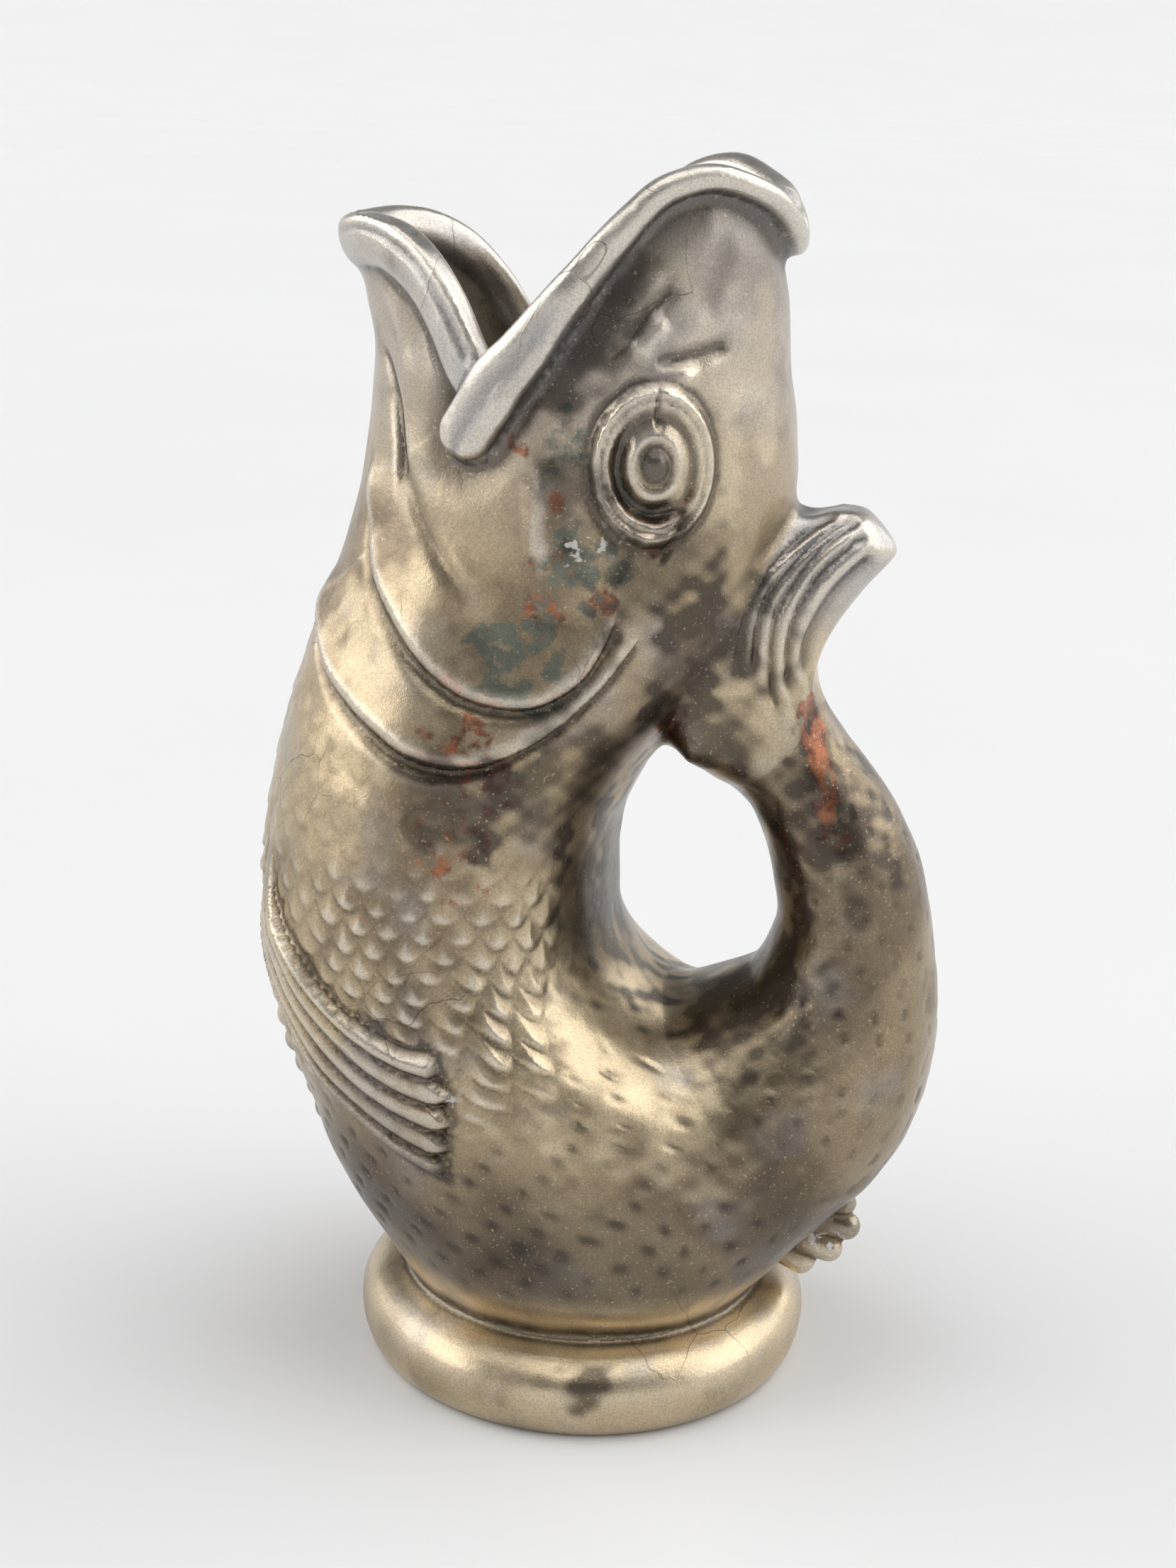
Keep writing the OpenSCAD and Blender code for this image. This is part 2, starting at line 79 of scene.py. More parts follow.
# Tail: place, x, height, half thickness and half width
TAIL_SHARES = [
    [0, 0.0, 0.147, 1.83, 1.8], [1, 0.29, 0.15, 1.83, 1.8], [2, 0.52, 0.179, 1.73, 1.65],
    [3, 0.69, 0.242, 1.36, 1.38], [4, 0.748, 0.332, 1.01, 1.08], [5, 0.712, 0.405, 0.89, 0.95],
    [6, 0.612, 0.468, 0.76, 0.82], [7, 0.5, 0.515, 0.66, 0.72], [8, 0.41, 0.552, 0.56, 0.6],
]
# Ribs of the tail fin: place, then x and height at the tail, half way and at the free edge
FAN_SHARES = [
    [0.0, 0.38, 0.48, 0.31, 0.5, 0.18, 0.528], [0.2, 0.43, 0.483, 0.33, 0.545, 0.22, 0.6],
    [0.4, 0.48, 0.49, 0.4, 0.575, 0.35, 0.676], [0.6, 0.53, 0.499, 0.46, 0.59, 0.525, 0.712],
    [0.8, 0.58, 0.509, 0.5, 0.595, 0.695, 0.722], [1.0, 0.63, 0.52, 0.5, 0.596, 0.805, 0.688],
]
# Lines on the side of the fish: degrees round from the back, and height share
GILL_REAR = [
    [168, 0.665], [163, 0.625], [154, 0.6], [143, 0.58], [131, 0.562], [117, 0.545], [101, 0.527],
    [86, 0.522], [75, 0.533], [68, 0.558], [62, 0.6], [58, 0.645],
]
PLATE_REAR = [
    [157, 0.77], [153, 0.73], [146, 0.696], [136, 0.659], [125, 0.632], [113, 0.605], [98, 0.581],
    [85, 0.573], [76, 0.578], [70, 0.599], [68, 0.632], [68, 0.668],
]
CHEEK = [
    [150, 0.815], [146, 0.8], [141, 0.775], [135, 0.75], [128, 0.725], [119, 0.7], [110, 0.685],
    [101, 0.68], [93, 0.682], [86, 0.69], [81, 0.7], [77, 0.712],
]
# Upper and lower edge of the side fin: share of its length, degrees and height share
FIN_TOP = [
    [0, 147, 0.435], [0.2, 137, 0.375], [0.4, 124, 0.338], [0.6, 112, 0.308], [0.8, 100, 0.284],
    [1, 87, 0.277],
]
FIN_LOW = [
    [0, 152, 0.425], [0.2, 151, 0.34], [0.4, 142, 0.268], [0.6, 131, 0.215], [0.8, 119, 0.18],
    [1, 107, 0.161],
]
# Lobes of the pelvic fin: height on the skin and reach
PELVIC_SHARES = [[0.24, 0.85], [0.217, 1.0], [0.194, 1.0], [0.171, 0.9], [0.148, 0.8], [0.126, 0.6]]
# Lobes of the anal fin: height on the skin, reach and degrees downward
ANAL_SHARES = [[0.08, 0.6, 8], [0.06, 1.05, 11], [0.042, 0.98, 21], [0.028, 0.65, 37]]
ANAL_OUT = 8.0
LOBE_R = 3.8
# Eye: degrees and height share of its middle, and half its width and height in mm
EYE_AT = (66.0, 0.770)
EYE_HALF = (10.5, 13.25)


def up(share):
    return FOOT_H + np.asarray(share, float) * (JUG_H - FOOT_H)


def curve(table, x, k):
    """Smooth value in column k of a table whose rows start with the key."""
    t = np.asarray(table, float)
    key, val = t[:, 0], t[:, k]
    slope = np.gradient(val, key)
    slope[1:-1] = (val[2:] - val[:-2]) / (key[2:] - key[:-2])
    i = np.clip(np.searchsorted(key, x, side="right") - 1, 0, len(key) - 2)
    h = key[i + 1] - key[i]
    u = np.clip((x - key[i]) / h, 0, 1)
    return (
        val[i] * (1 + 2 * u) * (1 - u) ** 2 + h * slope[i] * u * (1 - u) ** 2
        + val[i + 1] * u * u * (3 - 2 * u) + h * slope[i + 1] * u * u * (u - 1)
    )


def through(points, n):
    """n places along a smooth curve through a list of points."""
    p = np.asarray(points, float)
    keyed = np.column_stack([np.arange(len(p)), p])
    t = np.linspace(0, len(p) - 1, n)
    return np.column_stack([curve(keyed, t, k + 1) for k in range(p.shape[1])])


def ease(x, low, high):
    """0 under low, 1 over high, and smooth between."""
    t = np.clip((x - low) / (high - low), 0, 1)
    return t * t * (3 - 2 * t)


def bump(x, width):
    return np.exp(-((x / width) ** 2))


def unit(v):
    return v / np.linalg.norm(v, axis=-1, keepdims=True)


def union(a, b, k):
    h = np.clip(0.5 + 0.5 * (b - a) / k, 0, 1)
    return b * (1 - h) + a * h - k * h * (1 - h)


def common(a, b, k):
    return -union(-a, -b, k)


# The trunk
def trunk_at(z):
    share = (z - FOOT_H) / (JUG_H - FOOT_H)
    front = -curve(TRUNK_SHARES, share, 1) * BELLY_REACH
    mid = curve(TRUNK_SHARES, share, 2) * BELLY_REACH
    back = curve(TRUNK_SHARES, share, 3) * BELLY_REACH
    half = curve(TRUNK_SHARES, share, 4) * HALF_W
    return front, mid, back, half, JAW_NARROWING * ease(share, 0.72, 0.95)


def skin_at(a, z):
    """The place on the trunk's skin at an angle round from the back and a height."""
    front, mid, back, half, narrow = trunk_at(z)
    c, s = np.cos(np.radians(a)), np.sin(np.radians(a))
    reach = np.where(c < 0, mid - front, back - mid)
    half = half * np.where(c < 0, 1 - narrow * c * c, 1)
    return np.stack(np.broadcast_arrays(mid + reach * c, half * s, z), -1)


def trunk_chart(p):
    """Degrees round from the back on either side, height share, and distance out of the skin."""
    x, y, z = p[..., 0], p[..., 1], p[..., 2]
    front, mid, back, half, narrow = trunk_at(z)
    ahead = x < mid
    reach = np.where(ahead, mid - front, back - mid)
    c = np.clip((x - mid) / reach, -1, 1)
    half = half * np.where(ahead, 1 - narrow * c * c, 1)
    q = np.sqrt(((x - mid) / reach) ** 2 + (y / half) ** 2) + 1e-6
    far = np.hypot(x - mid, y)
    degrees = np.degrees(np.arctan2(np.abs(y) / half, (x - mid) / reach))
    return degrees, (z - FOOT_H) / (JUG_H - FOOT_H), far - far / q


def nearest(p, samples, chunk=20000):
    """Index of the nearest sample and the distance to it."""
    index = np.empty(len(p), int)
    gap = np.empty(len(p))
    square = (samples ** 2).sum(1)
    for i in range(0, len(p), chunk):
        q = p[i:i + chunk]
        d = square - 2 * q @ samples.T
        index[i:i + chunk] = d.argmin(1)
        gap[i:i + chunk] = d.min(1) + (q ** 2).sum(1)
    return index, np.sqrt(np.maximum(gap, 0))


# The tail
def tail_frames(n):
    """Places along the tail: middle, direction, half sizes and length so far."""
    s = np.linspace(0, 8, n)
    at = np.column_stack([curve(TAIL_SHARES, s, 1) * TAIL_REACH, np.zeros(n), up(curve(TAIL_SHARES, s, 2))])
    on = unit(np.gradient(at, axis=0))
    size = np.column_stack([curve(TAIL_SHARES, s, 3) * GRIP_T / 2, curve(TAIL_SHARES, s, 4) * GRIP_W / 2])
    along = np.concatenate([[0], np.cumsum(np.linalg.norm(np.diff(at, axis=0), axis=1))])
    return at, on, size, along


TAIL = tail_frames(90)


def tail_field(p, inset=0.0):
    """Distance from a row of ellipsoids that run into each other."""
    at, _, size, _ = TAIL
    best = np.full(len(p), 1e3)
    for c, (r, w) in zip(at, size):
        d = p - c
        far = np.sqrt((d ** 2).sum(1)) + 1e-6
        q = np.sqrt((d[:, 0] ** 2 + d[:, 2] ** 2) / (r - inset) ** 2 + (d[:, 1] / (w - inset)) ** 2) + 1e-6
        np.minimum(best, far - far / q, out=best)
    return best


# The tail fin
def fan_place(u, v):
    """x and z of a place across the fan (u) and out from the tail (v)."""
    c = [curve(FAN_SHARES, u, k) for k in range(1, 7)]
    w = 1 - v
    return (
        (c[0] * w * w + 2 * c[2] * w * v + c[4] * v * v) * TAIL_REACH,
        up(c[1] * w * w + 2 * c[3] * w * v + c[5] * v * v),
    )


def fan_half(u, v):
    """Half the thickness of the fan from side to side."""
    at_tail = 0.75 * GRIP_W / 2 * np.sqrt(np.maximum(1 - ((u - 0.5) / 0.56) ** 2, 0.02))
    at_edge = FAN_W / 2 * np.sqrt(np.maximum(1 - ((u - 0.15) / 0.93) ** 2, 0.02))
    full = at_tail + (at_edge - at_tail) * np.minimum(1, 1.6 * v)
    return full * (1 - 0.4 * v ** 5)


def unmap(place, x, z, n=40):
    """The u and v at which a map of the unit square comes nearest to x and z."""
    g = np.linspace(0, 1, n)
    u, v = [a.ravel() for a in np.meshgrid(g, g)]
    i, _ = nearest(np.column_stack([x, z]), np.column_stack(place(u, v)))
    u, v = u[i], v[i]
    e = 1e-3
    for _ in range(3):
        px, pz = place(u, v)
        ux, uz = place(u + e, v)
        vx, vz = place(u, v + e)
        a, b, c, d = (ux - px) / e, (vx - px) / e, (uz - pz) / e, (vz - pz) / e
        det = a * d - b * c
        det = np.where(np.abs(det) < 1e-3, 1e-3, det)
        rx, rz = x - px, z - pz
        u = np.clip(u + np.clip((d * rx - b * rz) / det, -0.1, 0.1), 0, 1)
        v = np.clip(v + np.clip((a * rz - c * rx) / det, -0.1, 0.1), 0, 1)
    return u, v


def polygon_field(x, z, poly):
    """Distance from a closed outline, negative inside."""
    far = np.full(x.shape, 1e9)
    inside = np.zeros(x.shape, bool)
    for (ax, az), (bx, bz) in zip(poly, np.roll(poly, -1, 0)):
        ex, ez = bx - ax, bz - az
        t = np.clip(((x - ax) * ex + (z - az) * ez) / (ex * ex + ez * ez + 1e-12), 0, 1)
        far = np.minimum(far, (x - ax - t * ex) ** 2 + (z - az - t * ez) ** 2)
        if ez:
            inside ^= ((az > z) != (bz > z)) & (x < ex * (z - az) / ez + ax)
    return np.where(inside, -1, 1) * np.sqrt(far)


def fan_outline():
    g = np.linspace(0, 1, 12)
    edges = [(g, 0 * g), (0 * g + 1, g), (g[::-1], 0 * g + 1), (0 * g, g[::-1])]
    return np.vstack([np.column_stack(fan_place(u, v))[:-1] for u, v in edges])


FAN_OUTLINE = fan_outline()
FAN_ROUND = 6.0
FAN_CELL = 0.5
FAN_LOW_Z = 108


def fan_map():
    """The fan's u and v on a square grid, evened out where the map folds past its edge."""
    x, z = np.meshgrid(np.arange(0, 73, FAN_CELL), np.arange(FAN_LOW_Z, 193, FAN_CELL), indexing="ij")
    maps = [m.reshape(x.shape) for m in unmap(fan_place, x.ravel(), z.ravel())]
    maps.append(polygon_field(x, z, FAN_OUTLINE))
    outside = maps[2] > -1
    for m, rounds in zip(maps, (12, 12, 36)):
        for _ in range(rounds):
            near = (np.roll(m, 1, 0) + np.roll(m, -1, 0) + np.roll(m, 1, 1) + np.roll(m, -1, 1)) / 4
            m[outside] = near[outside]
    return maps


def look_up(grid, x, z):
    i = np.clip(x / FAN_CELL, 0, grid.shape[0] - 1.001)
    j = np.clip((z - FAN_LOW_Z) / FAN_CELL, 0, grid.shape[1] - 1.001)
    a, b = i.astype(int), j.astype(int)
    s, t = i - a, j - b
    low = grid[a, b] * (1 - s) + grid[a + 1, b] * s
    high = grid[a, b + 1] * (1 - s) + grid[a + 1, b + 1] * s
    return low * (1 - t) + high * t


FAN_MAP = fan_map()


def fan_field(p):
    u, v, edge = (look_up(grid, p[:, 0], p[:, 2]) for grid in FAN_MAP)
    side = np.abs(p[:, 1]) - fan_half(u, v) + FAN_ROUND
    edge = edge + FAN_ROUND
    corner = np.hypot(np.maximum(side, 0), np.maximum(edge, 0))
    return corner + np.minimum(np.maximum(side, edge), 0) - FAN_ROUND


# The foot, as an outline turned round the middle
def foot_outline():
    """Half of the foot's cut: the round roll, the seat and the hollow under it."""
    mid = FOOT_H / 2
    t = np.radians(np.arange(90, -1, -7.5))
    roll = np.column_stack([SEAT_R + (FOOT_R - SEAT_R) * np.cos(t), mid + mid * np.sin(t)])
    t = np.radians(np.arange(7.5, 91, 7.5))
    under = np.column_stack([FOOT_R - 4 + 4 * np.cos(t), mid - mid * np.sin(t)])
    hollow = [[FOOT_R - 13, 0], [FOOT_R - 16, 6], [-1, 6], [-1, FOOT_H]]
    return np.vstack([roll, under, hollow])


FOOT_OUTLINE = foot_outline()


def foot_field(p):
    return polygon_field(np.hypot(p[:, 0], p[:, 1]), p[:, 2], FOOT_OUTLINE)


# Lips: a roll swept along the edge of the mouth, that blends into the skin
SQUARENESS = 2.4
# Distance from the lip's end, half width, half thickness, blend, height over the rim and how far proud
UPPER_SECTION = [
    [0, 5.0, 2.9, 0.9, 6.6, 4.0], [10, 5.1, 3.0, 0.9, 6.6, 4.2], [22, 4.3, 3.1, 1.2, 6.1, 3.6],
    [36, 3.1, 3.3, 2.0, 5.4, 2.9], [52, 2.4, 3.4, 3.0, 5.0, 2.5], [72, 2.1, 3.4, 3.5, 4.8, 2.3],
    [90, 2.5, 3.4, 4.0, 4.4, 2.3],
]
LOWER_SECTION = [[0, 4.4, 3.3, 2.0, 5.4, 1.8], [20, 4.3, 3.6, 3.0, 5.8, 2.5], [53, 4.2, 3.6, 6.0, 5.8, 2.0]]


def lip_frames(path, n, section):
    """Places along a lip: middle, three directions, half width, half thickness and blend."""
    chart = through(path, n)
    a, z = chart[:, 0], up(chart[:, 1])
    at = skin_at(a, z)
    round_way = skin_at(a + 1, z) - skin_at(a - 1, z)
    up_way = skin_at(a, z + 1) - skin_at(a, z - 1)
    out = unit(np.cross(round_way, up_way))
    along = unit(np.gradient(at, axis=0))
    rise = unit(np.cross(out, along))
    place = np.concatenate([[0], np.cumsum(np.linalg.norm(np.diff(at, axis=0), axis=1))])
    from_end = np.minimum(place, place[-1] - place)
    half, thick, blend, height, proud = (curve(section, from_end, k) for k in range(1, 6))
    centre = at + out * (proud - thick)[:, None] + rise * (height - half)[:, None]
    return centre, out, rise, along, half, thick, blend


def rim(a):
    return curve(RIM_SHARES, np.abs(a), 1)


def mirrored(half, middle):
    far = [[-p[0], p[1]] for p in half]
    return far + [middle] + [list(p) for p in reversed(half)]


# Degrees round from the back at which each lip's path follows the mouth
UPPER_DEGREES = [103.5, 97.5, 90, 82, 74, 67, 60, 50, 40, 28, 14]
LOWER_DEGREES = [109, 112, 115, 119, 124, 131, 140, 150, 160, 170]
UPPER_PATH = mirrored(LAP_SHARES + [[a, float(rim(a))] for a in UPPER_DEGREES], [0, float(rim(0))])
LOWER_PATH = [[a, float(rim(a))] for a in LOWER_DEGREES]
LOWER_PATH += [[180, float(rim(180))]] + [[360 - a, r] for a, r in reversed(LOWER_PATH)]
UPPER_LIP = lip_frames(UPPER_PATH, 260, UPPER_SECTION)
LOWER_LIP = lip_frames(LOWER_PATH, 200, LOWER_SECTION)


def lip_place(p, frames):
    """Place in the lip's cross-section in half widths: out of the jaw, towards the rim and along it."""
    at, out, rise, along, half, thick, blend = frames
    i, far = nearest(p, at)
    d = p - at[i]
    n = (d * out[i]).sum(1) / thick[i]
    return n, (d * rise[i]).sum(1) / half[i], (d * along[i]).sum(1) / half[i], far, blend[i]


def lip_field(p, frames):
    """Distance from the lip, and the blend that it has there."""
    n, b, t, far, blend = lip_place(p, frames)
    q = (np.abs(n) ** SQUARENESS + np.hypot(b, t) ** SQUARENESS) ** (1 / SQUARENESS)
    return np.column_stack([far - far / (q + 1e-6), blend])


# The mouth cuts nothing under this height share
JAW_SHARE = 0.6
# Stands for too far away to matter, in mm
FAR = 30.0


def mouth_field(p):
    """Negative in what the open mouth takes away, seen from the side."""
    a = np.arange(180, -1, -3.0)
    lift = 1.2 + 1.3 * ease(-a, -100, -75) + 0.8 * ease(a, 130, 160)
    edge = skin_at(a, up(rim(a)) + lift)
    z = np.interp(p[:, 0], edge[:, 0], edge[:, 2])
    slope = np.clip(np.interp(p[:, 0], edge[:, 0], np.gradient(edge[:, 2], edge[:, 0])), -1.5, 1.5)
    return np.where(p[:, 2] > up(JAW_SHARE), (z - p[:, 2]) / np.sqrt(1 + slope ** 2), FAR)


def capsule_field(p, a, b, ra, rb):
    ab = b - a
    t = np.clip(((p - a) @ ab) / (ab @ ab), 0, 1)
    return np.linalg.norm(p - a - t[:, None] * ab, axis=1) - (ra + (rb - ra) * t)


def pelvic_field(p):
    way = np.array([-1, 0, -0.5]) / math.hypot(1, 0.5)
    best = np.full(len(p), 50.0)
    for share, out in PELVIC_SHARES:
        root = skin_at(180, float(up(share)))
        lobe = capsule_field(p, root, root + way * (out * 4 + 1 - LOBE_R), LOBE_R, LOBE_R * 0.85)
        best = union(best, lobe, 0.8)
    return best


def anal_field(p):
    best = np.full(len(p), 50.0)
    for share, reach, down in ANAL_SHARES:
        root = skin_at(0, float(up(share)))
        slope = math.radians(down)
        tip = root + ANAL_OUT * reach * np.array([math.cos(slope), 0, -math.sin(slope)])
        best = union(best, capsule_field(p, root, tip, LOBE_R, LOBE_R * 0.8), 0.8)
    return best


def within(p, low, high, field, far=FAR):
    """A field worked out only in the box where it matters."""
    inside = ((p > low) & (p < high)).all(1)
    out = np.full((len(p),) + np.shape(far), far)
    if inside.any():
        out[inside] = field(p[inside])
    return out


# Forms that join the trunk: the box in which each matters, low and high, and its field
PARTS = {
    "tail": ((-12, -45, 8), (85, 45, 165), tail_field),
    "fan": ((2, -28, 112), (70, 28, 190), fan_field),
    "foot": ((-60, -60, -9), (60, 60, 30), foot_field),
    "pelvic": ((-85, -14, 25), (-38, 14, 88), pelvic_field),
    "anal": ((25, -14, 5), (72, 14, 52), anal_field),
}


def fields(p):
    """Every field at points p: the separate forms, and the whole jug."""
    f = {name: within(p, low, high, field) for name, (low, high, field) in PARTS.items()}
    f["trunk"] = np.maximum(trunk_chart(p)[2], FOOT_H - 3 - p[:, 2])
    limb = union(f["tail"], f["fan"], 7.0)
    body = union(f["trunk"], limb, 6.0)
    for name, blend in (("foot", 3.0), ("pelvic", 1.5), ("anal", 1.5)):
        body = union(body, f[name], blend)
    bore = within(p, (-12, -45, 8), (85, 45, 140), lambda q: tail_field(q, WALL))
    hollow = union(np.maximum(f["trunk"] + WALL, FOOT_H + WALL - p[:, 2]), bore, 4.0)
    f["hollow"] = hollow
    f["outer"] = body
    whole = common(body, -hollow, 1.0)
    whole = common(whole, -mouth_field(p), 1.0)
    f["shell"] = whole
    for name, low, high, frames in (
        ("lower_lip", (-72, -48, 185), (0, 48, 245), LOWER_LIP),
        ("upper_lip", (-38, -48, 175), (48, 48, 256), UPPER_LIP),
    ):
        f[name], blend = within(p, low, high, lambda q: lip_field(q, frames), (FAR, 1.0)).T
        whole = union(whole, f[name], blend)
    f["whole"] = whole
    return f


# Meshing: quads from the field on a grid, settled on the surface, then halved where they show
# Cell of the grid and corners of its box in mm, and what a degree and a height share are in mm on the side
GRID = 1.3
LOW = np.array([-75.0, -56.0, -5.0])
HIGH = np.array([76.0, 56.0, 250.0])
NECK_Z = FOOT_H + NECK_SHARE * (JUG_H - FOOT_H)
CHART_MM = np.array([0.82, JUG_H - FOOT_H])


def coarse_mesh():
    n = np.ceil((HIGH - LOW) / GRID).astype(int)
    axes = [LOW[i] + GRID * np.arange(n[i]) for i in range(3)]
    y, z = np.meshgrid(axes[1], axes[2], indexing="ij")
    values = np.empty(n, np.float32)
    for i in range(0, n[0], 8):
        x = axes[0][i:i + 8]
        p = np.column_stack([np.repeat(x, y.size), np.tile(y.ravel(), len(x)), np.tile(z.ravel(), len(x))])
        values[i:i + 8] = fields(p)["whole"].reshape(len(x), *y.shape)
    grid = openvdb.FloatGrid(FAR)
    grid.copyFromArray(np.clip(values, -8, 8))
    points, quads = grid.convertToQuads(0.0)
    return points * GRID + LOW, quads.astype(int)


def steepest(p, value, e=0.1):
    g = np.empty_like(p)
    for k in range(3):
        d = np.zeros(3)
        d[k] = e
        g[:, k] = (fields(p + d)["whole"] - value) / e
    return g


def settle(p, rounds):
    """Moves points on to the surface, and gives the way out of it there."""
    for _ in range(rounds):
        value = fields(p)["whole"]
        g = steepest(p, value)
        step = -value / np.maximum((g ** 2).sum(1), 0.1)
        p = p + np.clip(step, -1, 1)[:, None] * g
    g = steepest(p, fields(p)["whole"])
    return p, g / np.maximum(np.linalg.norm(g, axis=1), 1e-6)[:, None]


def beside(x, z, line, n=200):
    """Distance on the right of a smooth line in the chart, in mm, and the share of the way along it."""
    at = through(line, n) * CHART_MM
    way = unit(np.gradient(at, axis=0))
    i, far = nearest(np.column_stack([x, z]), at)
    right = (x - at[i, 0]) * way[i, 1] - (z - at[i, 1]) * way[i, 0]
    return np.where(far < 3, right, np.sign(right) * far), i / (n - 1)


def chart_mm(p):
    degrees, share, out = trunk_chart(p)
    return degrees * CHART_MM[0], share * CHART_MM[1], out


def eye_chart(p):
    """Place in the eye, in half widths: towards the mouth, and up."""
    folded = p * [1, -1, 1]
    folded[:, 1] = -np.abs(p[:, 1])
    z = float(up(EYE_AT[1]))
    centre = skin_at(-EYE_AT[0], z)
    across = unit(skin_at(-EYE_AT[0] - 1, z) - centre)
    rise = skin_at(-EYE_AT[0], z + 1) - centre
    rise = unit(rise - across * (rise @ across))
    d = folded - centre
    deep = d @ np.cross(across, rise)
    s, t = d @ across / EYE_HALF[0], d @ rise / EYE_HALF[1]
    far = np.where(np.abs(deep) < 16, 0, 10)
    return s + far, t


def in_chart(x, z, line, closing):
    """Whether a place on the side lies between a line and the one that closes it."""
    poly = np.vstack([through(line, 60), np.asarray(closing, float)[::-1]]) * CHART_MM
    return polygon_field(x, z, poly) < 0


def fin_place(u, v):
    top = [curve(FIN_TOP, u, k) for k in (1, 2)]
    low = [curve(FIN_LOW, u, k) for k in (1, 2)]
    return [(t + (b - t) * v) * s for t, b, s in zip(top, low, CHART_MM)]


def fin_uv(x, z):
    """Place on the side fin, and how far outside of it in mm."""
    u, v = unmap(fin_place, x, z, 30)
    px, pz = fin_place(u, v)
    return u, v, np.hypot(px - x, pz - z)


# Every kind of piece, and the slot that it takes its finish from
SLOTS = {
    "belly_shell": "body", "head_shell": "head", "foot_ring": "foot", "tail_handle": "tail",
    "tail_fan": "tail_fan", "lower_lip": "lips", "upper_lip": "lips", "gill_cover": "gills",
    "gill_plate": "gill_plates", "eye": "eyes", "pectoral_fin": "fins", "pelvic_fin": "fins",
    "anal_fin": "fins",
}
NAMES = list(SLOTS)
PAIRS = ("gill_cover", "gill_plate", "eye", "pectoral_fin")


def label(p, f):
    """The piece that each place on the surface belongs to."""
    code = {name: i for i, name in enumerate(NAMES)}
    x, z, _ = chart_mm(p)
    stack = np.stack([f[n] for n in ("trunk", "foot", "tail", "fan", "pelvic", "anal")])
    own = stack.argmin(0)
    out = np.where(p[:, 2] > NECK_Z, code["head_shell"], code["belly_shell"])
    skin = own == 0
    out[skin & in_chart(x, z, GILL_REAR, CHEEK)] = code["gill_cover"]
    out[skin & in_chart(x, z, PLATE_REAR, CHEEK)] = code["gill_plate"]
    s, t = eye_chart(p)
    out[skin & (s * s + t * t < 1)] = code["eye"]
    low = skin & (p[:, 2] < 125) & (p[:, 0] < 30)
    _, _, far = fin_uv(x[low], z[low])
    out[np.flatnonzero(low)[far < 0.2]] = code["pectoral_fin"]
    for k, name in enumerate(["foot_ring", "tail_handle", "tail_fan", "pelvic_fin", "anal_fin"]):
        out[own == k + 1] = code[name]
    inside = (-f["hollow"] > f["outer"]) & (p[:, 2] > FOOT_H + 1)
    wall = np.where(p[:, 2] > NECK_Z, code["head_shell"], code["belly_shell"])
    bore = (f["tail"] + WALL < f["trunk"] + WALL) & (p[:, 0] > 20)
    out = np.where(inside, np.where(bore, code["tail_handle"], wall), out)
    lips = np.minimum(f["lower_lip"], f["upper_lip"])
    lip_code = np.where(f["lower_lip"] < f["upper_lip"], code["lower_lip"], code["upper_lip"])
    is_lip = lips < f["shell"] + 0.05
    return np.where(is_lip, lip_code, out), inside & ~is_lip


def means(points, pairs):
    """The middle of the neighbours that each point has in a list of pairs."""
    a, b = np.concatenate([pairs, pairs[:, ::-1]]).T
    count = np.bincount(a, minlength=len(points))[:, None]
    total = np.column_stack([np.bincount(a, points[b, k], len(points)) for k in range(3)])
    return np.where(count > 0, total / np.maximum(count, 1), points)


def sides(faces):
    return np.stack([faces, np.roll(faces, -1, 1)], 2).reshape(-1, 2)


def smooth_seams(points, quads, key, rounds=8):
    """Evens out the steps of the grid along the line between two pieces."""
    edge, faces = np.unique(np.sort(sides(quads), 1), axis=0, return_inverse=True)
    faces = faces.ravel()
    owner = np.repeat(key, 4)
    low = np.full(len(edge), len(points))
    high = np.full(len(edge), -1)
    np.minimum.at(low, faces, owner)
    np.maximum.at(high, faces, owner)
    seam = edge[low != high]
    count = np.bincount(seam.ravel(), minlength=len(points))
    weight = np.where(count == 2, 0.5, 0)[:, None]
    for _ in range(rounds):
        points = points + weight * (means(points, seam) - points)
    ring = np.zeros(len(points), bool)
    ring[quads[(count[quads] > 0).any(1)]] = True
    ring &= count == 0
    return np.where(ring[:, None], means(points, edge), points)


# Relief: height over the plain skin in mm, and how dark, coppery, green or grey the glaze is, with painted
# shade and painted highlights among the tones
# Lines of the face: points in the chart, height and half width
FACE_LINES = [
    (
        [[151, 0.927], [138, 0.918], [133, 0.901], [130, 0.882], [129, 0.862], [126, 0.838], [119, 0.815]],
        -0.9, 1.3,
    ),
    ([[158, 0.905], [146, 0.890], [141, 0.862], [139, 0.835], [134, 0.805]], 0.5, 2.2),
    ([[161, 0.849], [150, 0.830], [142, 0.792], [137, 0.751], [133, 0.715]], -0.8, 1.4),
    (
        [[154, 0.800], [146, 0.804], [139, 0.766], [128, 0.721], [116, 0.682], [107, 0.661], [100, 0.654]],
        -0.55, 1.6,
    ),
    ([[91, 0.777], [94, 0.743], [93, 0.710], [87, 0.666]], 1.3, 3.0),
    ([[68, 0.724], [72, 0.667]], -0.5, 1.2),
    ([[78, 0.842], [73, 0.860], [67, 0.882], [60, 0.905], [56, 0.918]], -0.95, 1.7),
    ([[69, 0.850], [65, 0.868], [60, 0.886]], 0.8, 2.8),
    ([[66, 0.850], [60, 0.852], [53, 0.856], [44, 0.862], [38, 0.866]], -1.1, 1.6),
    ([[38, 0.945], [43, 0.925], [47, 0.900], [49, 0.875]], -0.5, 3.2),
    ([[71, 0.841], [60, 0.836], [50, 0.842]], 0.8, 2.6),
    ([[74, 0.700], [66, 0.712], [58, 0.735]], 0.6, 1.6),
]
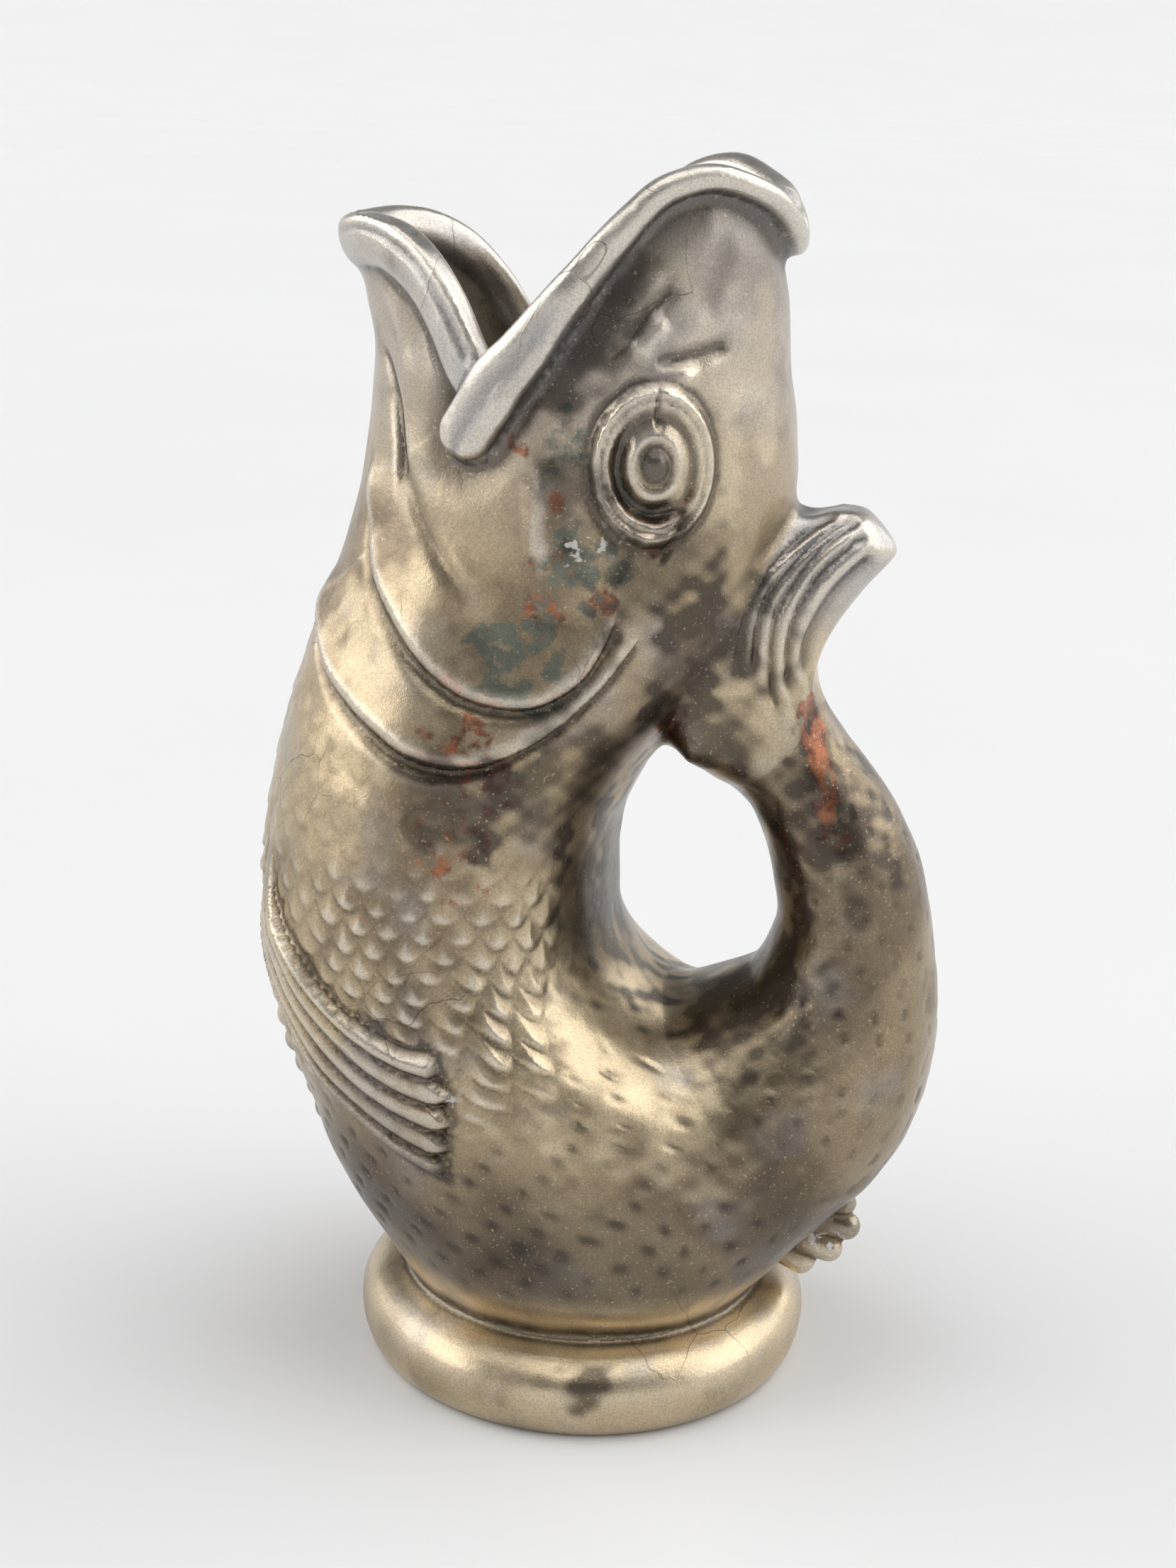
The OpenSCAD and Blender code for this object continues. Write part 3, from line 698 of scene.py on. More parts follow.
# Eye: how far out from the middle, and height in mm on the side of the crescent and on the other
EYE_PROFILE = [
    [0, 2.5, 2.5], [0.12, 2.3, 2.3], [0.24, 1.3, 1.3], [0.30, 1.1, 1.1], [0.38, 1.6, 1.7], [0.46, 1.0, 1.4],
    [0.56, -0.3, 0.9], [0.66, -0.5, 0.6], [0.75, 0.9, 0.9], [0.82, 1.8, 1.6], [0.88, 1.2, 1.2],
    [0.95, 2.1, 1.9], [1.01, 1.7, 1.5], [1.08, 0.3, 0.3], [1.15, -0.4, -0.2], [1.22, -0.2, -0.1],
    [1.32, 0.0, 0.0],
]
# Grooves of the tail fin seen from the side, x and z in mm, and half width
FAN_GROOVES = [
    ([[40.4, 144], [39.3, 151], [39.8, 156], [43.4, 164], [49, 170], [52, 172]], 1.5),
    ([[37.9, 141], [36.5, 149], [36.8, 158], [40, 167], [46, 173], [50, 176]], 1.2),
    ([[35.8, 138], [33.6, 149], [33.6, 160], [37.1, 168], [43, 175], [49, 178.5]], 1.2),
    ([[31.1, 145], [30.2, 153], [31.5, 163], [36, 170], [42, 176], [48, 179]], 1.1),
    ([[28.1, 145], [27.3, 154], [28.5, 162], [32, 169.5], [38, 175.5], [45, 179.5]], 1.1),
    ([[26.8, 151], [25.9, 157.5], [27, 164], [29.2, 168.5]], 1.0),
    ([[25.3, 154], [25.0, 158], [26.2, 164]], 0.8),
    ([[25.4, 143], [23.5, 147], [20.3, 151.6]], 1.1),
    ([[24.1, 142.5], [22, 145.6], [19.3, 149]], 1.1),
    ([[22.9, 141], [20.8, 143.4], [18, 146.3]], 1.1),
    ([[22.1, 139.8], [20, 141.4], [17, 143]], 1.1),
]
# Raised rim of the tail fin, and the red run of glaze under it, seen from the side
FAN_RIM = [[20.8, 154.7], [22.5, 158.2], [24.9, 163.1], [27.3, 168], [30.2, 173.4], [32.6, 177.5], [35, 181]]
STREAK = [[39.9, 145], [41.0, 140], [43.2, 132], [45.8, 123], [47.9, 115.6], [49.5, 107]]
GILL_STEP = 2.6
PLATE_STEP = 1.8
# Distance between scales round the trunk and down it, and the way round half of the trunk
SCALE_W = 7.4
SCALE_H = 4.4
HALF_ROUND = 125
# Where the scales stop towards the back: height share and degrees
SCALE_EDGE = [[0.10, 60], [0.20, 58], [0.28, 50], [0.34, 36], [0.41, 38], [0.46, 50], [0.50, 70], [0.56, 90]]


def step_up(d, height, round_r, length):
    """A rounded edge that falls away again to the skin over a length."""
    rise = np.sqrt(np.clip(1 - (1 - np.clip(d / round_r, 0, 1)) ** 2, 0, 1))
    return height * rise * np.exp(-(np.maximum(d, 0) / length) ** 1.5)


def ends(t, share=0.12):
    return ease(t, 0, share) * ease(1 - t, 0, share)


def wander(p, size, seed):
    """Slow smooth variation between -1 and 1."""
    rng = np.random.default_rng(seed)
    total = np.zeros(len(p))
    for _ in range(5):
        way = rng.normal(size=3)
        way /= np.linalg.norm(way)
        total += np.sin(p @ way / size * 2 * np.pi + rng.uniform(0, 6.3))
    return total / 3.2


def face_relief(p, r):
    """The steps of the gill covers and plates, with painted shadow below them, and the folds of the cheek
    and brow.
    """
    x, z, _ = chart_mm(p)
    for rear, height, seam in ((GILL_REAR, GILL_STEP, 0.9), (PLATE_REAR, PLATE_STEP, 0.6)):
        d, t = beside(x, z, rear)
        on = ends(t)
        r["height"] += on * step_up(d, height, 2.2, 11)
        r["height"] -= on * seam * bump(d + 1.0, 1.3)
        # Painted shadow at the foot of each step
        r["dark"] += on * 0.9 * bump(d + 0.6, 1.5)
        copper = bump(d - 1.2, 1.0) * ease(p[:, 0], -48, -25) * ease(t, 0.35, 0.5) * (t < 0.97)
        r["copper"] += on * copper * (0.8 if rear is PLATE_REAR else 0.35)
    for line, height, half in FACE_LINES:
        d, t = beside(x, z, line, 90)
        on = bump(d, half) * ends(t, 0.3)
        r["height"] += height * on
        r["dark"] += 0.7 * max(0, -height) * on


def eye_relief(p, r):
    """The rings of the eye, its crescent, notch and pupil."""
    s, t = eye_chart(p)
    rho = np.hypot(s, t)
    near = rho < 1.32
    low_left = ease(np.cos(np.arctan2(t, s) + math.radians(40)), -0.25, 0.6)
    height = curve(EYE_PROFILE, rho, 1) * low_left + curve(EYE_PROFILE, rho, 2) * (1 - low_left)
    valley = bump(rho - 0.61, 0.12) * low_left
    pupil = ease(0.30 - rho, 0, 0.08)
    notch = bump(s + 0.03, 0.045) * ease(t, 0.42, 0.6) * (rho < 1.05)
    cut = bump(s + 0.45 + 0.5 * (t + 0.75), 0.07)
    cut *= ease(-t, 0.45, 0.6) * ease(1.5 + t, 0, 0.3)
    r["height"] += near * (height - 0.7 * notch - 0.6 * cut)
    edge = bump(rho - 1.13, 0.06)
    r["dark"] += near * (0.95 * valley + 0.95 * pupil + 0.4 * notch + 0.6 * cut + 0.5 * edge)
    r["green"] += near * (0.8 * valley + 0.5 * pupil)
    r["copper"] += near * 0.6 * bump(rho - 0.74, 0.05) * ease(-t, 0.1, 0.5)


def fin_relief(p, r):
    """The rays of the side fin, with rounded tips."""
    x, z, _ = chart_mm(p)
    u, v, out = fin_uv(x, z)
    on = ease(u, 0.0, 0.28)
    crests = np.array([0.07, 0.30, 0.52, 0.74, 0.94])
    grooves = np.array([0.185, 0.41, 0.63, 0.84])
    lobe = np.abs(np.sin(np.pi * np.interp(v, grooves, [1, 2, 3, 4], left=0.1, right=4.6)))
    tip = 0.94 + 0.055 * lobe
    body = 1.7 * on * ease(v, -0.02, 0.07) * ease(1.02 - v, 0, 0.09)
    body *= 1 - ease(u, tip - 0.03, tip + 0.005)
    ridge = 1.1 * on * bump(v - crests[0], 0.085)
    cuts = sum(bump(v - g, 0.026) for g in grooves) * ease(u, 0.08, 0.3)
    waves = sum(bump(v - c, 0.065) for c in crests[1:]) * on
    inside = np.exp(-(np.maximum(out, 0) / 0.6) ** 2)
    height = body + (u < tip) * ridge + 0.5 * waves * (u < tip) - 0.9 * cuts * (u < 0.97)
    r["height"] += height * inside
    # Darker in the grooves, with painted shadow at the tips' step and below the fin's lower edge
    r["dark"] += inside * (0.9 * cuts + 0.7 * bump(u - tip, 0.02)) + 0.6 * bump(out - 0.7, 0.8) * (v > 0.9)


def scale_relief(across, down, r, on, depth):
    """Overlapping scales with rounded free edges, in rows that are set half a scale apart."""
    row = down / SCALE_H
    past = np.full(len(row), 9.0)
    ahead = np.full(len(row), 9.0)
    for k in (-1, 0, 1, 2):
        j = np.floor(row) + k
        c = across / SCALE_W + 0.5 * (j % 2)
        c -= np.round(c)
        gap = row - (j + 0.9 - 2.9 * c * c)
        past = np.where(gap >= 0, np.minimum(past, gap), past)
        ahead = np.where(gap < 0, np.minimum(ahead, -gap), ahead)
    rise = np.clip(past / 1.1, 0, 1)
    r["height"] += on * depth * rise ** 1.2 * ease(ahead, 0, 0.24)
    # Darker at the foot of each scale's free edge: painted shade in the step
    r["dark"] += on * 0.7 * (1 - rise) ** 4


def dots_relief(across, down, r, on, depth):
    """Dimples in rows that are set half a step apart."""
    row = down / SCALE_H
    j = np.round(row)
    c = across / SCALE_W + 0.5 * (j % 2)
    c -= np.round(c)
    pit = np.exp(-(c / 0.14) ** 2 - ((row - j) / 0.26) ** 2)
    r["height"] -= on * depth * pit
    r["dark"] += on * 0.6 * pit


def trunk_scales(p, r):
    """Scales on the flank, and dimples below them."""
    degrees, share, _ = trunk_chart(p)
    z = p[:, 2]
    across = degrees / 180 * HALF_ROUND + wander(p, 23, 1) + 0.5 * wander(p, 9, 21)
    down = (JUG_H - z) + 1.2 * wander(p, 31, 2) + 0.4 * wander(p, 8, 22) - 6.0 * np.cos(np.radians(degrees))
    d, _ = beside(degrees * CHART_MM[0], share * CHART_MM[1], GILL_REAR)
    below = ease(-d, 2, 12)
    edge = curve(SCALE_EDGE, share, 1)
    flank = ease(degrees, edge - 4, edge + 16)
    floor = 66 + 10 * ease(-degrees, -95, -60)
    clear = ease(z, floor - 8, floor + 5) * (1 - ease(z, 103, 122))
    soft = 0.35 * ease(z, 95, 115)
    low = (1 - ease(z, floor - 4, floor + 8)) * ease(z, 22, 34)
    uneven = 0.8 + 0.3 * wander(p, 13, 23)
    scale_relief(across, down, r, below * flank * uneven * np.maximum(clear, soft), 0.75)
    dots = below * ease(degrees, 20, 45) * low * (0.65 + 0.4 * wander(p, 14, 6))
    dots_relief(across, down, r, dots, 0.45)
    at_fin = (z < 128) & (p[:, 0] < 25)
    x, y, _ = chart_mm(p[at_fin])
    calm = np.ones(len(p))
    calm[at_fin] = ease(fin_uv(x, y)[2], 0.2, 2.2)
    for k in r:
        r[k] *= calm


def tail_relief(p, r):
    """Dimples on the outside of the tail."""
    at, on, size, along = TAIL
    i, _ = nearest(p, at)
    d = p - at[i]
    side = np.cross(on[i], [0, 1, 0])
    h = (d * side).sum(1) / size[i, 0]
    w = np.abs(d[:, 1]) / size[i, 1]
    turn = np.degrees(np.arctan2(w, h))
    place = along[i]
    mid = (size[i, 0] + size[i, 1]) / 2
    visible = ease(place, 28, 50) * (1 - ease(place, 118, 150))
    inner = turn if np.median(h[p[:, 0] > at[i, 0] + 5]) > 0 else 180 - turn
    band = ease(180 - inner, 35, 70)
    dots_relief(np.radians(turn) * mid, place, r, visible * band * (0.55 + 0.35 * wander(p, 14, 5)), 0.4)


def fan_relief(p, f, r):
    """Ribs of the tail fin, which run on a little way past it."""
    x, z = p[:, 0], p[:, 2]
    own = ease(-f["fan"], -3.0, -0.2)
    side = own * ease(np.abs(p[:, 1]), 3, 7)
    gap = np.full(len(p), 9.0)
    for line, width in FAN_GROOVES:
        at = through(line, 80)
        _, far = nearest(np.column_stack([x, z]), at)
        start, end = (np.hypot(x - at[k, 0], z - at[k, 1]) for k in (0, -1))
        fade = ease(start, 0, 8) * ease(end, 0, 3)
        gap = np.minimum(gap, far / width + 2.0 * (1 - fade))
    _, rim_gap = nearest(np.column_stack([x, z]), through(FAN_RIM, 80))
    cut = bump(gap, 0.75)
    r["height"] += side * (0.9 * np.clip(gap / 2.2, 0, 1) ** 0.7 - 0.6 * cut - 0.4)
    r["height"] += 0.9 * side * bump(rim_gap, 1.5)
    r["dark"] += side * cut * (0.55 + 0.4 * ease(165 - z, 0, 20))
    r["pewter"] += own * ease(z, 148, 168)
    r["gold"] += 0.9 * own * ease(z, 126, 138)


def streak_relief(p, r):
    """The red run of glaze down the outside of the tail, under the fan."""
    at = through(STREAK, 80)
    i, far = nearest(p[:, [0, 2]], at)
    ragged = 1.5 + 1.0 * wander(p, 4.5, 7) + 0.7 * wander(p, 2.2, 8)
    fade = ease(i / 79, 0, 0.08) * ease(1 - i / 79, 0, 0.45)
    r["copper"] += fade * ease(ragged + 0.8 - far, 0, 0.9) * ease(np.abs(p[:, 1]), 3, 7)
    r["dark"] += 0.5 * fade * bump(far - ragged - 0.8, 0.8) * ease(np.abs(p[:, 1]), 3, 7)


def upper_lip_relief(p, f, r):
    n, b, _, _, _ = lip_place(p, UPPER_LIP)
    own = 1 - ease(f["upper_lip"], 0, 1.0)
    own = own * ease(f["lower_lip"], 0.5, 2.5)
    outside = own * ease(n, 0.0, 0.5) * ease(218 - p[:, 2], 0, 14)
    r["height"] -= 0.6 * outside * bump(b + 0.1, 0.32)
    r["dark"] += 0.25 * outside * bump(b + 0.1, 0.25)


def lower_lip_relief(p, f, r):
    n, b, _, _, _ = lip_place(p, LOWER_LIP)
    own = (1 - ease(f["lower_lip"], 0, 1.0)) * ease(f["upper_lip"], 0.5, 3.0)
    turn = np.degrees(np.arctan2(b, n))
    r["height"] += own * (0.45 * bump(turn - 58, 11) - 0.45 * bump(turn - 28, 13))
    r["dark"] += own * 0.3 * bump(turn - 28, 10)


TONES = ("dark", "copper", "green", "pewter", "gold", "pits")
# Places where the glaze differs, and places of painted shade and painted highlight, for each tone: x,
# distance from the middle, height, radius and strength
PATCHES = {
    "copper": [
        [-7.2, 35.2, 162.5, 4.2, 0.8], [-7.0, 34.0, 172.0, 2.8, 0.7], [-6.8, 32.7, 182.6, 2.6, 0.7],
        [12.8, 29.7, 174.8, 2.8, 0.7], [3.0, 33.0, 166.0, 3.4, 0.7], [-12.9, 31.1, 191.8, 3.2, 0.7],
        [14.3, 16.6, 137.6, 5.5, 0.8], [37.6, 12.0, 112.9, 6.0, 0.6], [-18.8, 39.2, 135.6, 8.0, 0.6],
        [-19.7, 40.2, 117.7, 9.0, 0.35],
    ],
    "green": [
        [-12.5, 36.4, 154.4, 7.5, 0.9], [-8.0, 38.5, 141.0, 6.0, 0.5], [-1.0, 34.0, 171.0, 8.0, 0.75],
        [-3.0, 32.0, 192.0, 6.0, 0.6],
    ],
    # Dark: painted shade under the gill covers, in and below the handle's hole, in the tail and on the head,
    # and a dark mark of the glaze on the foot
    "dark": [
        [3.0, 36.0, 127.0, 15.0, 0.85], [6.0, 8.0, 104.0, 20.0, 0.95], [44.0, 6.0, 114.0, 13.0, 0.75],
        [-5.0, 31.5, 209.0, 10.0, 0.8], [14.0, 31.0, 171.0, 12.0, 0.7], [30.0, 14.0, 90.0, 16.0, 0.8],
        [7.0, 44.6, 12.7, 4.5, 0.9], [22.0, 25.0, 156.0, 13.0, 0.8], [-4.0, 33.5, 186.0, 7.0, 0.75],
        [4.0, 29.0, 219.0, 8.0, 0.5], [-22.0, 39.0, 127.0, 9.0, 0.75], [20.0, 18.0, 138.0, 10.0, 0.9],
    ],
    # Gold: painted highlights on the saddle at the tail's root, on the gill covers, the belly and the crown
    "gold": [
        [14.0, 25.0, 77.0, 24.0, 1.0], [4.0, 27.0, 226.0, 9.0, 0.8], [-34.0, 33.0, 150.0, 18.0, 0.6],
        [25.0, 20.0, 205.0, 13.0, 0.8], [22.0, 26.0, 188.0, 9.0, 0.8], [-10.0, 38.0, 96.0, 18.0, 0.5],
    ],
    "pits": [
        [-20.2, 45.0, 70.9, 3.0, 0.8], [51.7, 2.0, 26.4, 4.0, 1.0], [1.0, 33.6, 176.0, 4.5, 0.6],
    ],
}


def patches(p, r):
    """Places of another glaze, of painted shade and of painted highlight, with ragged edges, the same on
    both sides.
    """
    folded = np.column_stack([p[:, 0], np.abs(p[:, 1]), p[:, 2]])
    ragged = 1 + 0.30 * wander(p, 9, 12) + 0.20 * wander(p, 4, 13)
    for tone, places in PATCHES.items():
        for x, y, z, radius, strength in places:
            far = np.linalg.norm(folded - [x, y, z], axis=1)
            r[tone] += strength * ease(1.45 * radius * ragged - far, 0, 0.9 * radius)


def lip_relief(p, f, r):
    """The ridges of each lip, and the valley beside it where the other lip isn't, with painted shadow in the
    valley.
    """
    for lip, other, work, depth, width, shade in (
        ("upper_lip", "lower_lip", upper_lip_relief, 1.7, 5.0, 0.85),
        ("lower_lip", "upper_lip", lower_lip_relief, 0.6, 3.0, 0.45),
    ):
        near = f[lip] < 1.5
        own = {k: np.zeros(near.sum()) for k in r}
        work(p[near], {k: v[near] for k, v in f.items()}, own)
        for k in r:
            r[k][near] += own[k]
        recess = (f["outer"] > -1) * np.exp(-((f[lip] - 1.0) / width) ** 2) * ease(f[lip], 0.1, 1.8)
        recess *= ease(f[other], 0.2, 2.0)
        r["height"] -= depth * recess
        # Painted shadow in the valley beside the lip
        r["dark"] += shade * recess


def place_tones(p, f, r, piece, lips):
    """Where the glaze is grey or golden as a whole, painted shade low on the belly, on the tail and where
    tail, fan and trunk meet, a painted highlight over the foot, and the patches.
    """
    z = p[:, 2]
    foot, tail = (piece == NAMES.index(name) for name in ("foot_ring", "tail_handle"))
    r["pewter"] += 0.8 * (1 - ease(lips, 0, 3)) + 0.6 * ease(z, 165, 215)
    r["gold"] += foot * (0.6 + 0.3 * wander(p, 15, 24))
    # Painted shade where the trunk, tail and fan meet
    joint = np.sort(np.stack([f[n] for n in ("trunk", "tail", "fan")]), 0)[1]
    r["dark"] += 0.4 * np.exp(-(np.maximum(joint, 0) / 2.5)) * ease(z, 100, 125) * (z < 190)
    # Painted shade low on the belly, weaker towards the tail
    low = ease(z, 22, 30) * (1 - ease(z, 42, 76))
    r["dark"] += low * (0.68 + 0.2 * wander(p, 19, 9)) * (1 - 0.4 * ease(p[:, 0], 40, 65))
    # Painted shade on the tail handle from 45 mm up
    r["dark"] += 0.3 * tail * ease(z, 45, 70)
    # Painted highlight along the fillet just above the foot
    r["gold"] += 0.8 * bump(f["foot"] - 4.5, 3.5) * (z > FOOT_H)
    spots = {k: np.zeros(len(p)) for k in TONES}
    patches(p, spots)
    for k in TONES:
        r[k] += spots[k] * ease(lips, 0.4, 2.0)


def relief(p, f, piece):
    """Height over the plain skin and every tone, at points p with fields f and pieces known."""
    keys = ("height",) + TONES
    r = {k: np.zeros(len(p)) for k in keys}
    z = p[:, 2]

    def on(mask, work, *more):
        part = {k: np.zeros(mask.sum()) for k in keys}
        work(p[mask], *more, part)
        for k in keys:
            r[k][mask] += part[k]

    def is_piece(*names):
        return np.isin(piece, [NAMES.index(name) for name in names])

    body = ~is_piece("foot_ring", "tail_handle", "tail_fan", "pelvic_fin", "anal_fin")
    on(body & (z > 118), face_relief)
    on(body & (z > 165) & (np.abs(p[:, 1]) > 8), eye_relief)
    on(body & (z > 40) & (z < 128) & (p[:, 0] < 25), fin_relief)
    on(body & (z < 160) & ~is_piece("pectoral_fin"), trunk_scales)
    on(is_piece("tail_handle"), tail_relief)
    fan = (f["fan"] < 3) & (f["outer"] > -1) & (p[:, 0] > 10)
    on(fan, fan_relief, {k: v[fan] for k, v in f.items()})
    on(is_piece("tail_fan", "tail_handle") & (z > 100), streak_relief)
    lips = np.minimum(f["upper_lip"], f["lower_lip"])
    calm = ease(lips, 0.3, 3.0)
    calm = calm * ease(f["foot"], 0.5, 3) * ease(np.minimum(f["pelvic"], f["anal"]), 0, 2)
    for k in keys:
        r[k] *= np.where(is_piece("tail_fan"), 1, calm)
    lip_relief(p, f, r)
    slow = 0.13 * wander(p, 11, 3) + 0.2 * wander(p, 27, 4)
    r["height"] += np.where(is_piece("foot_ring"), 0.4, 1) * slow * ease(z, 0.5, 6)
    place_tones(p, f, r, piece, lips)
    return r


# Pieces: each is its patch of the surface, a plain copy of it deeper in the wall, and the rim between
# Thickness of each glazed piece in mm, of those that have a wall behind them and of the rest
SKIN = {"foot_ring": 3.0, "belly_shell": 2.1, "head_shell": 2.1, "tail_handle": 2.1}
THIN = 1.6


# Attributes of the mesh, and the tones that their four channels hold; dark and gold also carry painted shade
# and painted highlights, and crest carries painted light inside the jug
LAYERS = {"tone": ("dark", "copper", "green", "pewter"), "wear_and_light": ("crest", "hollow", "pits", "gold")}


class Surface:
    """The whole surface: coarse points, then the middles of its edges and faces."""

    def __init__(self):
        points, self.quads = coarse_mesh()
        points, _ = settle(points, 1)
        f = fields(points[self.quads].mean(1))
        self.piece, self.inside = label(points[self.quads].mean(1), f)
        side = (points[self.quads].mean(1)[:, 1] > 0).astype(int)
        self.side = side
        points = smooth_seams(points, self.quads, self.piece * 2 + side * (self.piece > 6))
        edges, back = np.unique(np.sort(sides(self.quads), 1), axis=0, return_inverse=True)
        self.mid = len(points) + back.reshape(-1, 4)
        self.centre = len(points) + len(edges) + np.arange(len(self.quads))
        every = np.vstack([points, points[edges].mean(1), points[self.quads].mean(1)])
        self.count = len(points)
        self.plain, self.out = settle(every, 1)
        self.plain = evened(self.plain, self.small(np.arange(len(self.quads))))
        self.shown = self.plain.copy()
        self.tone = {}
        self.add_relief()

    def add_relief(self):
        piece = np.zeros(len(self.plain), int)
        fine = np.zeros(len(self.plain), bool)
        faces = np.flatnonzero(~self.inside)
        for index in (self.quads, self.mid, self.centre[:, None]):
            fine[index[faces]] = True
            for corner in index.T:
                piece[corner] = self.piece
        at = np.flatnonzero(fine)
        p = self.plain[at]
        tone = relief(p, fields(p), piece[at])
        self.shown[at] += self.out[at] * tone.pop("height")[:, None]
        small = self.small(faces)
        self.shown = evened(self.shown, small, 0.7)
        for k, value in tone.items():
            self.tone[k] = np.zeros(len(self.plain))
            self.tone[k][at] = np.clip(value, 0, 1)
        # Painted light inside the jug: greyer, more golden and lighter towards the mouth
        inner = ~fine
        self.tone["pewter"][inner] = 0.6 * ease(self.plain[inner, 2], 175, 205)
        self.tone["gold"][inner] = ease(self.plain[inner, 2], 170, 195)
        over = ((self.shown - evened_out(self.shown, small, 14)) * self.out).sum(1)
        over[inner] = 0
        self.tone["crest"] = ease(over, 0.06, 0.40)
        self.tone["hollow"] = ease(-over, 0.02, 0.30)
        # Painted light inside the jug, through the crest channel
        self.tone["crest"][inner] = ease(self.plain[inner, 2], 170, 195)

    def small(self, faces):
        q, m, c = self.quads[faces], self.mid[faces], self.centre[faces]
        return np.vstack([np.column_stack([q[:, k], m[:, k], c, m[:, k - 1]]) for k in range(4)])


def evened_out(points, faces, rounds):
    """The surface with everything smaller than a few mm smoothed away."""
    for _ in range(rounds):
        points = means(points, sides(faces))
    return points


def evened(points, faces, most=0.35):
    """Points that stand off their neighbours by more than most mm go back to the middle of them."""
    for _ in range(3):
        mean = means(points, sides(faces))
        off = np.linalg.norm(points - mean, axis=1) > most
        points = np.where(off[:, None], mean, points)
    return points


def point_normals(points, faces):
    """Directions out of the surface, evened over the faces round each point."""
    a, b, c, d = (points[faces[:, k]] for k in range(4))
    n = np.cross(c - a, d - b)
    total = np.zeros_like(points)
    for k in range(4):
        np.add.at(total, faces[:, k], n)
    return total / np.maximum(np.linalg.norm(total, axis=1), 1e-9)[:, None]


def closed_patch(surface, faces, small):
    """Faces over one patch, its copy at a depth and the rim, as lists of point numbers."""
    quads, mid = surface.quads[faces], surface.mid[faces]
    deep = len(surface.plain)
    half = np.column_stack([quads.ravel(), np.roll(quads, -1, 1).ravel(), mid.ravel()])
    key = np.minimum(half[:, 0], half[:, 1]) * deep + np.maximum(half[:, 0], half[:, 1])
    _, back, count = np.unique(key, return_inverse=True, return_counts=True)
    rim = half[count[back] == 1]
    front = surface.small(faces) if small else quads
    polys = [front, quads[:, ::-1] + deep]
    a, b, m = rim.T
    if small:
        polys.append(np.column_stack([b, m, a, a + deep, b + deep]))
    else:
        polys.append(np.column_stack([b, a, a + deep, b + deep]))
    return polys


def piece_mesh(name, surface, patches, depth):
    """One closed piece with its normals and tones, as an object in metres."""
    polys = [p for faces, small in patches for p in closed_patch(surface, faces, small)]
    points = np.vstack([surface.shown, surface.plain - surface.out * depth])
    used = np.unique(np.concatenate([p.ravel() for p in polys]))
    renumber = np.zeros(len(points), int)
    renumber[used] = np.arange(len(used))
    mesh = bpy.data.meshes.new(name)
    loops = np.concatenate([renumber[p].ravel() for p in polys])
    sizes = np.concatenate([np.full(len(p), p.shape[1]) for p in polys])
    mesh.vertices.add(len(used))
    mesh.vertices.foreach_set("co", (points[used] * TO_METRES).astype(np.float32).ravel())
    mesh.loops.add(len(loops))
    mesh.loops.foreach_set("vertex_index", loops.astype(np.int32))
    mesh.polygons.add(len(sizes))
    mesh.polygons.foreach_set("loop_start", (np.cumsum(sizes) - sizes).astype(np.int32))
    mesh.polygons.foreach_set("use_smooth", np.ones(len(sizes), bool))
    mesh.update(calc_edges=True)
    normals = np.vstack([surface.normals, -surface.out])[used]
    mesh.normals_split_custom_set_from_vertices(normals.astype(np.float32))
    for layer, channels in LAYERS.items():
        columns = [np.concatenate([surface.tone[k], 0 * surface.tone[k]])[used] for k in channels]
        layer = mesh.color_attributes.new(layer, "FLOAT_COLOR", "POINT")
        layer.data.foreach_set("color", np.column_stack(columns).astype(np.float32).ravel())
    obj = bpy.data.objects.new(name, mesh)
    bpy.context.scene.collection.objects.link(obj)
    return obj


def dress(surface):
    """Makes every piece, gives it its slot's glaze, ties it to the root body and hides the part of the same
    node.
    """
    faces = [surface.small(np.flatnonzero(~surface.inside)), surface.quads[surface.inside]]
    surface.normals = point_normals(surface.shown, np.vstack(faces))
    for code, name in enumerate(NAMES):
        for side in ((0, 1) if name in PAIRS else (None,)):
            here = surface.piece == code
            if side is not None:
                here &= surface.side == side
            node = name if side is None else ("left_", "right_")[side] + name
            patches = [(np.flatnonzero(here & ~surface.inside), True)]
            if (here & surface.inside).any():
                patches.append((np.flatnonzero(here & surface.inside), False))
            piece = piece_mesh("glazed_" + node, surface, patches, SKIN.get(name, THIN))
            piece.data.materials.append(glaze(SLOTS[name]))
            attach(piece, "root")
            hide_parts(node)


# Glaze: the colours of the lustre, and of the clay under it
GOLD = (0.47, 0.37, 0.235, 1)
BRIGHT = (0.80, 0.655, 0.43, 1)
BRONZE = (0.25, 0.188, 0.122, 1)
UMBER = (0.034, 0.027, 0.023, 1)
PEWTER = (0.50, 0.475, 0.455, 1)
SLATE = (0.19, 0.185, 0.19, 1)
COPPER = (0.46, 0.145, 0.06, 1)
OXIDE = (0.15, 0.04, 0.022, 1)
GREEN = (0.15, 0.18, 0.145, 1)
CREST = (0.84, 0.77, 0.65, 1)
PALE = (0.80, 0.79, 0.76, 1)
# Roughness of each slot
FINISH = {
    "foot": 0.31, "body": 0.31, "head": 0.30, "lips": 0.30, "gills": 0.30, "gill_plates": 0.29, "eyes": 0.27,
    "tail": 0.30, "tail_fan": 0.29, "fins": 0.31,
}


